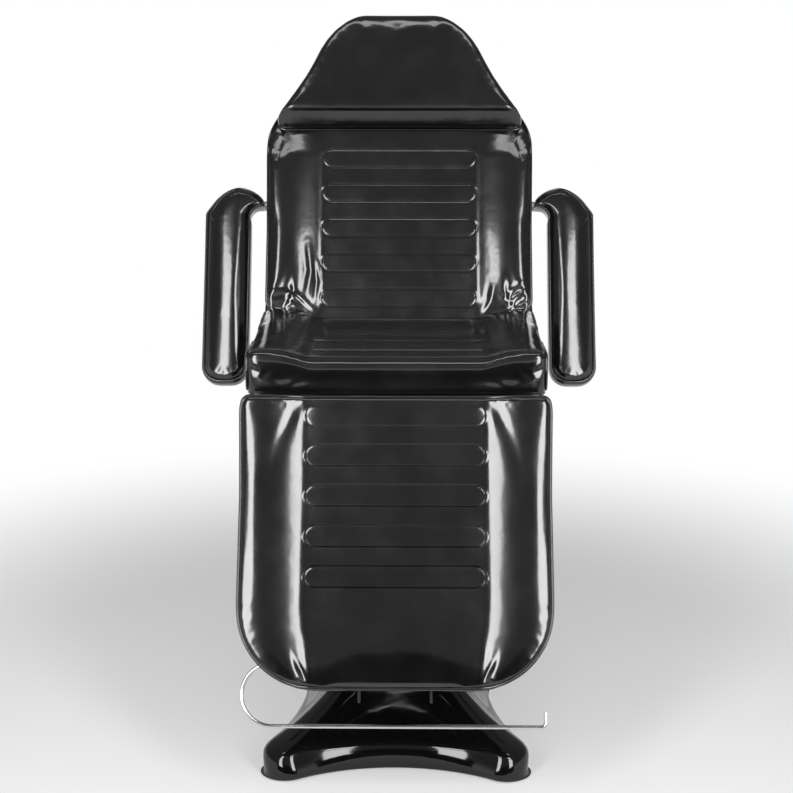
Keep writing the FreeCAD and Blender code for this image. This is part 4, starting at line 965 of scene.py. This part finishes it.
    def stuff(self, pad: bpy.types.Object, lines: list[Seam]) -> None:
        """Swells the vinyl over its foam between the seams.

        Args:
            pad: the pad, level.
            lines: the piping lines.
        """
        before = read_points(pad.data)
        held = np.flatnonzero(self.sewn(before, lines))
        group = pad.vertex_groups.new(name="sewn")
        group.add([int(k) for k in held], 1.0, "REPLACE")
        cloth = pad.modifiers.new("stuffing", "CLOTH")
        settings = cloth.settings
        settings.quality = self.cloth_quality
        settings.mass = self.cloth_mass
        settings.tension_stiffness = self.stiffness
        settings.compression_stiffness = self.stiffness
        settings.bending_stiffness = self.bending
        settings.vertex_group_mass = group.name
        settings.use_pressure = True
        settings.uniform_pressure_force = self.pressure
        settings.effector_weights.gravity = 0
        cloth.collision_settings.use_collision = False
        cloth.point_cache.frame_start = 1
        cloth.point_cache.frame_end = self.cloth_steps
        for step in range(1, self.cloth_steps + 1):
            bpy.context.scene.frame_set(step)
        bake(pad)
        pad.vertex_groups.clear()
        bpy.context.scene.frame_set(1)
        move = read_points(pad.data) - before
        length = np.linalg.norm(move, axis=1)
        LOG.info("%s swelled %.1f mm, %.1f on average", self.node, length.max() / MM, length.mean() / MM)
        limit = self.cap * np.tanh(length / self.cap) / np.maximum(length, TINY)
        write_points(pad.data, before + move * limit[:, None])

    def finish_surface(self, pad: bpy.types.Object, lines: list[Seam]) -> None:
        """Adds the seams' valleys, the creases and the slight waviness of the foam.

        Args:
            pad: the pad, level.
            lines: the piping lines.
        """
        points, normals = read_points(pad.data), read_normals(pad.data)
        lift = -self.seam_depth * np.exp(-((distance_to(points, lines) / self.seam_width) ** 2))
        top = smoothstep(*self.top_facing, normals[:, 2])
        for fold in self.folds:
            lift += top * fold.lift(points[:, 0], points[:, 1])
        lift += self.relief(points) * top
        lift += self.hinge_edge(points, normals)
        wave = np.array([noise.noise(Vector(p)) for p in points * self.ripples_per_metre])
        lift += self.ripple * wave * smoothstep(self.low[2], self.low[2] + self.ripple_fade, points[:, 2])
        write_points(pad.data, points + normals * lift[:, None])

    def hinge_edge(self, points: np.ndarray, normals: np.ndarray) -> np.ndarray:
        """How far the vinyl bulges where two pads meet at a hinge.

        Args:
            points: the level points.
            normals: their normals.

        Returns:
            How far each point stands out.
        """
        return np.zeros(len(points))

    def relief(self, points: np.ndarray) -> np.ndarray:
        """The sewn pattern on the pad's top.

        Args:
            points: the level points.

        Returns:
            How far each point stands up.
        """
        return np.zeros(len(points))


@dataclass
class PillPad(Pad):
    """A pad whose middle panel has a column of pressed pills."""

    # The pills, counted from the hinge
    first: float = 0.0
    pitch: float = 0.0
    count: int = 5
    pill_length: float = 348 * MM
    pill_height: float = 41 * MM
    pill_rise: float = 0.2 * MM
    swell_rim: float = 2 * MM
    swell_full: float = -9 * MM
    # The pressed line round each, and how far the mesh is drawn towards it
    line_depth: float = 0.9 * MM
    line_width: float = 1.2 * MM
    line_reach: float = 5 * MM
    line_pull: float = 1.6
    # The flat panel between the ramps, and the height of what is pressed flat in the solid
    panel_half: float = 178.5 * MM
    panel_top: float = 836 * MM
    panel_depth: float = 12 * MM
    ramp_gap: float = 4 * MM
    ramp_fade: float = 14 * MM
    pressed: float = 2 * MM
    piping_proud: float = 0.2
    ray_start: float = 2.0

    def plain(self, points: np.ndarray) -> np.ndarray:
        """The CAD shape with its pills pressed flat.

        Args:
            points: the level points.

        Returns:
            The points to start from.
        """
        points = points.copy()
        panel = (np.abs(points[:, 0]) < self.panel_half) & (points[:, 2] > self.panel_top - self.pressed)
        points[panel, 2] = np.minimum(points[panel, 2], self.panel_top)
        return points

    def settle_piping(self, pad: bpy.types.Object, lines: list[Seam]) -> None:
        """Lays the piping lines on the pad's top surface.

        Args:
            pad: the pad, level.
            lines: the piping lines, which are changed.
        """
        faces = [tuple(p.vertices) for p in pad.data.polygons]
        tree = BVHTree.FromPolygons([tuple(p) for p in read_points(pad.data)], faces)
        for number, (line, closed) in enumerate(lines):
            placed = line.copy()
            for k, (x, y, _) in enumerate(line):
                hit = tree.ray_cast(Vector((x, y, self.ray_start)), Vector((0, 0, -1)))[0]
                placed[k, 2] = hit.z if hit else placed[k - 1, 2]
            placed = eased(placed, 2 * self.outline_rounds, closed)
            placed[:, 2] += self.piping_proud * self.piping_radius
            lines[number] = (placed, closed)

    def pill_places(self) -> list[float]:
        """The places of the pills' middles along the pad.

        Returns:
            One level Y for each pill.
        """
        return [self.plane.pivot[0] + self.first + self.pitch * k for k in range(self.count)]

    def pill_distance(self, points: np.ndarray) -> tuple[np.ndarray, np.ndarray]:
        """How far each point is outside the nearest pill's outline, and which way is out.

        Args:
            points: the level points.

        Returns:
            The distance, negative inside, and the outward direction in the panel.
        """
        radius = self.pill_height / 2
        half = self.pill_length / 2 - radius
        best = np.full(len(points), np.inf)
        out = np.zeros((len(points), 2))
        over = np.sign(points[:, 0]) * np.maximum(np.abs(points[:, 0]) - half, 0)
        for place in self.pill_places():
            up = points[:, 1] - place
            length = np.maximum(np.hypot(over, up), TINY)
            gap = length - radius
            near = np.abs(gap) < np.abs(best)
            best = np.where(near, gap, best)
            out = np.where(near[:, None], np.column_stack([over / length, up / length]), out)
        return best, out

    def finish_surface(self, pad: bpy.types.Object, lines: list[Seam]) -> None:
        """Draws the mesh together along the pressed lines before the relief is added.

        Args:
            pad: the pad, level.
            lines: the piping lines.
        """
        points = read_points(pad.data)
        gap, out = self.pill_distance(points)
        reach = self.line_reach
        near = (np.abs(gap) < reach) & (points[:, 2] > self.panel_top - self.panel_depth)
        drawn = np.sign(gap) * reach * (np.abs(gap) / reach) ** self.line_pull - gap
        rim = self.panel_half - self.ramp_gap
        drawn *= smoothstep(rim, rim - self.ramp_fade, np.abs(points[:, 0]))
        points[near, :2] += (drawn[:, None] * out)[near]
        write_points(pad.data, points)
        super().finish_surface(pad, lines)

    def relief(self, points: np.ndarray) -> np.ndarray:
        """The pills: a pressed line round a low swelling.

        Args:
            points: the level points.

        Returns:
            How far each point stands up.
        """
        gap, _ = self.pill_distance(points)
        line = -self.line_depth * np.exp(-((gap / self.line_width) ** 2))
        swell = self.pill_rise * smoothstep(self.swell_rim, self.swell_full, gap)
        return line + swell


@dataclass
class LegPad(PillPad):
    """The leg rest pad, which is firm at the end by its hinge."""

    firm: float = 14 * MM
    edge_share: float = 1.5
    edge_swell: float = 1.5 * MM
    end_facing: tuple[float, float] = (0.0, 0.7)

    def sewn(self, points: np.ndarray, lines: list[Seam]) -> np.ndarray:
        """Which points are held down, those of the hinge end among them.

        Args:
            points: the level points.
            lines: the piping lines.

        Returns:
            True for each held point.
        """
        return super().sewn(points, lines) | (points[:, 1] > self.high[1] - self.firm)

    def hinge_edge(self, points: np.ndarray, normals: np.ndarray) -> np.ndarray:
        """A slight bulge of the end under the seat.

        Args:
            points: the level points.
            normals: their normals.

        Returns:
            How far each point stands out.
        """
        near = smoothstep(self.high[1] - self.edge_share * self.firm, self.high[1], points[:, 1])
        return self.edge_swell * near * smoothstep(*self.end_facing, normals[:, 1])


@dataclass
class BackPad(PillPad):
    """The backrest pad, whose piping ends where the pad rolls round its hinge."""

    piping_start: float = 30 * MM
    middle_half: float = 100 * MM

    def piping_lines(self, points: np.ndarray, faces: Faces) -> list[Seam]:
        """One open line from the lower left round the top to the lower right.

        Args:
            points: the level points.
            faces: the faces.

        Returns:
            The line, open.
        """
        (line, _), *_ = super().piping_lines(points, faces)
        start = int(np.argmin(np.where(np.abs(line[:, 0]) > self.middle_half, np.inf, line[:, 1])))
        line = np.roll(line, -start, axis=0)
        return [(line[line[:, 1] > self.plane.pivot[0] + self.piping_start], False)]


@dataclass
class HeadPad(Pad):
    """The headrest: a soft block with a sloping lower face, sewn with piping along its foot."""

    # The round of the solid's lower edge, and the sloping face that is cut from it, in degrees
    roll: float = 38 * MM
    face_tilt: float = 51.0
    face_reach: float = 29.0 * MM
    face_blend: float = 2.5 * MM
    blend_turn: float = 14.0
    least_cosine: float = 0.2
    foot_height: float = 3 * MM
    piping_lift: float = 1.4
    piping_inset: float = -0.5 * MM

    def piping_lines(self, points: np.ndarray, faces: Faces) -> list[Seam]:
        """The line round the headrest's foot.

        Args:
            points: the level points.
            faces: the faces.

        Returns:
            The closed line.
        """
        line = self.outline(points, faces, self.low[2] + self.foot_height)
        return [(self.drawn_in(line, self.piping_inset), True)]

    def settle_piping(self, pad: bpy.types.Object, lines: list[Seam]) -> None:
        """Keeps the piping level, just above the backrest.

        Args:
            pad: the pad, level.
            lines: the piping lines, which are changed.
        """
        for line, _ in lines:
            line[:, 2] = self.low[2] + self.piping_lift * self.piping_radius

    def finish_surface(self, pad: bpy.types.Object, lines: list[Seam]) -> None:
        """Flattens the lower roll into a sloping face before the seams are added.

        Args:
            pad: the pad, level.
            lines: the piping lines.
        """
        points = read_points(pad.data)
        across = self.low[1] + self.roll - points[:, 1]
        up = points[:, 2] - (self.high[2] - self.roll)
        reach = np.maximum(np.hypot(across, up), TINY)
        turn = np.degrees(np.arctan2(up, across))
        cosine = np.cos(np.radians(turn - self.face_tilt))
        over = reach - self.face_reach / np.maximum(cosine, self.least_cosine)
        soft = (over + np.hypot(over, self.face_blend)) / 2
        cut = soft * smoothstep(0, self.blend_turn, turn) * smoothstep(90, 90 - self.blend_turn, turn)
        points[:, 1] += cut * across / reach
        points[:, 2] -= cut * up / reach
        write_points(pad.data, points)
        super().finish_surface(pad, lines)


@dataclass
class SeatPad(Pad):
    """The seat pad: top and front in one piece, with piping round both side panels."""

    side: float = 296 * MM
    wrap: float = 45 * MM
    edge_swell: float = 3.5 * MM
    under_facing: tuple[float, float] = (-0.2, -0.8)
    seam_foot: float = 5 * MM
    seam_rounds: int = 2

    def hinge_edge(self, points: np.ndarray, normals: np.ndarray) -> np.ndarray:
        """The vinyl that wraps under the board's front edge and hangs a little.

        Args:
            points: the level points.
            normals: their normals.

        Returns:
            How far each point stands out.
        """
        near = smoothstep(self.low[1] + self.wrap, self.low[1] + self.wrap / 2, points[:, 1])
        return self.edge_swell * near * smoothstep(*self.under_facing, normals[:, 2])

    def piping_lines(self, points: np.ndarray, faces: Faces) -> list[Seam]:
        """The lines of both side panels, from the front's foot over the top to the rear.

        Args:
            points: the level points.
            faces: the faces.

        Returns:
            The two open lines.
        """
        lines = []
        for side in (-1, 1):
            loop = cut_loop(points, faces, Vector((side * self.side, 0, 0)), Vector((1, 0, 0)))
            loop = resample(loop, SEAM_STEP, True)
            start = int(np.argmin(loop[:, 2] + np.abs(loop[:, 1])))
            loop = np.roll(loop, -start, axis=0)
            line = loop[loop[:, 2] > self.low[2] + self.seam_foot]
            lines.append((eased(line, self.seam_rounds, False), False))
        return lines


@dataclass
class ArmPad(Pad):
    """An armrest pad with a crowned front and a narrow welt where it meets the sides."""

    welt_share: float = 0.8
    crown: float = 7 * MM

    def piping_lines(self, points: np.ndarray, faces: Faces) -> list[Seam]:
        """The welt round the front.

        Args:
            points: the level points.
            faces: the faces.

        Returns:
            The closed line.
        """
        height = self.low[2] + self.welt_share * (self.high[2] - self.low[2])
        return [(self.outline(points, faces, height), True)]

    def relief(self, points: np.ndarray) -> np.ndarray:
        """The crown: the front falls away toward both sides.

        Args:
            points: the level points.

        Returns:
            How far each point stands up.
        """
        middle, half = (self.low[0] + self.high[0]) / 2, (self.high[0] - self.low[0]) / 2
        share = np.clip((points[:, 0] - middle) / half, -1, 1)
        return -self.crown * share**2


# Stage


@dataclass(frozen=True)
class Softbox:
    """A studio lamp with an even rectangular face."""

    name: str
    place: tuple[float, float, float]
    aim: tuple[float, float, float]
    width: float
    height: float
    watts: float

    def build(self) -> None:
        """Puts the lamp in place."""
        lamp = bpy.data.lights.new(self.name, "AREA")
        lamp.shape = "RECTANGLE"
        lamp.size = self.width
        lamp.size_y = self.height
        lamp.energy = self.watts
        holder = bpy.data.objects.new(self.name, lamp)
        holder.location = self.place
        holder.rotation_mode = "QUATERNION"
        beam = Vector(self.aim) - Vector(self.place)
        holder.rotation_quaternion = beam.to_track_quat("-Z", "Y")
        holder.visible_camera = False
        bpy.context.scene.collection.objects.link(holder)


@dataclass(frozen=True)
class Studio:
    """White floor, pale horizon, softboxes and the camera."""

    floor_radius: float = 2.6
    floor_corners: int = 96
    floor_rim: float = 0.4
    clear_radius: float = 0.9
    paper: str = "#c0c0c0"
    paper_glow: float = 0.3
    velvet: str = "#101010"
    horizon_top: float = 6.0
    sky_start: float = 20.0
    sky: float = 0.22
    camera_place: tuple[float, float, float] = (0.037, -3.4497, 1.5824)
    camera_pitch: float = 14.24
    camera_yaw: float = 0.653
    focal: float = 76.34
    sensor: float = 36.0
    flag_place: float = -2.75
    flag_top: float = 1.0
    flag_half: float = 2.2
    lamps: tuple[Softbox, ...] = (
        Softbox("softbox_left", (-0.95, -2.05, 1.72), (0, 0, 1.25), 0.55, 2.4, 53),
        Softbox("softbox_right", (0.95, -2.05, 1.72), (0, 0, 1.25), 0.55, 2.4, 53),
        Softbox("strip_light_above", (0, -0.4, 3.3), (0, 0.1, 0.6), 2.2, 0.35, 12),
    )

    def build(self) -> None:
        """Sets up floor, backdrop, lamps and camera."""
        self.build_floor()
        self.build_flag()
        self.build_world()
        for lamp in self.lamps:
            lamp.build()
        self.build_camera()
        bpy.context.scene.view_settings.view_transform = "Standard"
        LOG.info("studio: floor, black flag, %d lamps and camera", len(self.lamps))

    @staticmethod
    def bare_tree(owner: bpy.types.Material | bpy.types.World) -> bpy.types.NodeTree:
        """Empties the node tree of a material or a world.

        Args:
            owner: the material or the world.

        Returns:
            Its tree, without nodes.
        """
        owner.use_nodes = True
        owner.node_tree.nodes.clear()
        return owner.node_tree

    def build_floor(self) -> None:
        """A round white floor that turns into plain white away from the object."""
        turns = np.linspace(0, 2 * math.pi, self.floor_corners, endpoint=False)
        ring = np.column_stack([np.cos(turns), np.sin(turns), np.zeros(self.floor_corners)])
        floor = mesh_object("floor", self.floor_radius * ring, [tuple(range(self.floor_corners))])
        # Matt paper keeps a soft contact shadow, and its edge fades into the background's white
        material = bpy.data.materials.new("matt white paper")
        tree = self.bare_tree(material)
        paper = add_node(tree, "BsdfDiffuse", {"Color": linear(self.paper)})
        glow = add_node(tree, "Emission", {"Color": (1, 1, 1, 1), "Strength": self.paper_glow})
        lit = add_node(tree, "AddShader", {0: paper.outputs[0], 1: glow.outputs[0]})
        white = add_node(tree, "Emission", {"Color": (1, 1, 1, 1), "Strength": 1.0})
        place = add_node(tree, "TexCoord").outputs[Space.OBJECT.value]
        radius = add_node(tree, "VectorMath", {0: place}, operation="LENGTH")
        values = {
            "Value": radius.outputs["Value"],
            "From Min": self.clear_radius,
            "From Max": self.floor_radius - self.floor_rim,
            "To Min": 0.0,
            "To Max": 1.0,
        }
        share = add_node(tree, "MapRange", values, interpolation_type="SMOOTHSTEP")
        mixed = add_node(tree, "MixShader", {0: share.outputs[0], 1: lit.outputs[0], 2: white.outputs[0]})
        add_node(tree, "OutputMaterial", {"Surface": mixed.outputs[0]})
        floor.data.materials.append(material)

    def build_flag(self) -> None:
        """A low black card that the camera does not see, which keeps the pads' upright faces dark."""
        corners = [(-1, 0), (1, 0), (1, 1), (-1, 1)]
        points = np.array([(self.flag_half * x, self.flag_place, self.flag_top * z) for x, z in corners])
        flag = mesh_object("black_flag", points, [(0, 1, 2, 3)])
        # Velvet shows as nothing but a dark area in what the vinyl mirrors
        material = bpy.data.materials.new("black velvet card")
        tree = self.bare_tree(material)
        velvet = add_node(tree, "BsdfDiffuse", {"Color": linear(self.velvet)})
        add_node(tree, "OutputMaterial", {"Surface": velvet.outputs[0]})
        flag.data.materials.append(material)
        flag.visible_camera = False

    def build_world(self) -> None:
        """White up to a little above the horizon, and a dim studio above."""
        world = bpy.data.worlds.new("studio")
        bpy.context.scene.world = world
        tree = self.bare_tree(world)
        place = add_node(tree, "TexCoord").outputs[Space.GENERATED.value]
        parts = add_node(tree, "SeparateXYZ", {0: place})
        values = {
            "Value": parts.outputs["Z"],
            "From Min": math.sin(math.radians(self.horizon_top)),
            "From Max": math.sin(math.radians(self.sky_start)),
            "To Min": 1.0,
            "To Max": self.sky,
        }
        level = add_node(tree, "MapRange", values, interpolation_type="SMOOTHSTEP")
        air = add_node(tree, "Background", {"Color": (1, 1, 1, 1), "Strength": level.outputs[0]})
        add_node(tree, "OutputWorld", {"Surface": air.outputs[0]})

    def build_camera(self) -> None:
        """The camera at the photograph's place and angle."""
        data = bpy.data.cameras.new("camera")
        data.lens = self.focal
        data.sensor_width = self.sensor
        camera = bpy.data.objects.new("camera", data)
        camera.location = self.camera_place
        tilt = math.radians(90 - self.camera_pitch)
        camera.rotation_euler = (tilt, 0, math.radians(self.camera_yaw))
        bpy.context.scene.collection.objects.link(camera)
        bpy.context.scene.camera = camera


# The chair


@dataclass
class Upholstery:
    """The six pads of the chair."""

    wardrobe: Wardrobe

    def build(self) -> None:
        """Makes every pad."""
        level = PadPlane((0.0, 0.0), 0.0)
        leg = PadPlane.of_joint("leg_raise")
        back = PadPlane.of_joint("recline")
        folds = self.back_folds(back)
        arm = {"voxel": 4 * MM, "piping_radius": 1.6 * MM}
        pads = [
            SeatPad("seat_cushion", "seat", level, 0.85, shrink=0.4 * MM),
            LegPad("leg_cushion", "leg", leg, 0.9, shrink=-0.4 * MM, first=-42.7 * MM, pitch=-77.6 * MM),
            BackPad("back_cushion", "back", back, 0.85, first=61.3 * MM, pitch=80.9 * MM, folds=folds),
            HeadPad("headrest_cushion", "back", back, 0.9, cap=1.5 * MM, piping_radius=2.6 * MM),
            ArmPad("armrest_pad_left", "armrest_left", back, 0.9, **arm),
            ArmPad("armrest_pad_right", "armrest_right", back, 0.9, **arm),
        ]
        for pad in pads:
            pad.build(self.wardrobe)

    @staticmethod
    def back_folds(back: PadPlane) -> tuple[Fold, ...]:
        """The creases at the backrest's lower corners and along its bolsters.

        Each is written in millimetres: its places across and along the pad, its height and its width.

        Args:
            back: the backrest's plane.

        Returns:
            The creases, in level places.
        """
        foot = back.pivot[0]
        creases = (
            (((-288, 70), (-256, 74), (-222, 48), (-190, 18)), 1.7, 6),
            (((-284, 50), (-250, 54), (-216, 30), (-188, 6)), 1.2, 5),
            (((290, 76), (262, 64), (238, 38)), 1.3, 5),
            (((290, 58), (268, 46), (248, 24)), 1.2, 5),
            (((288, 98), (254, 82), (226, 50)), 1.1, 6),
            (((-206, 60), (-196, 120), (-204, 190)), 1.0, 7),
            (((-182, 40), (-176, 96), (-184, 150)), 0.8, 5),
            (((190, 20), (206, 50), (214, 96)), 1.0, 7),
        )
        return tuple(
            Fold(tuple((x * MM, foot + y * MM) for x, y in places), height * MM, width * MM)
            for places, height, width in creases
        )


def main() -> None:
    """Builds the chair's looks piece by piece."""
    logging.basicConfig(level=logging.INFO, format="%(message)s")
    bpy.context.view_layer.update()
    wardrobe = Wardrobe()
    Studio().build()
    wardrobe.dress_nodes()
    Upholstery(wardrobe).build()


if __name__ == "__main__":
    main()
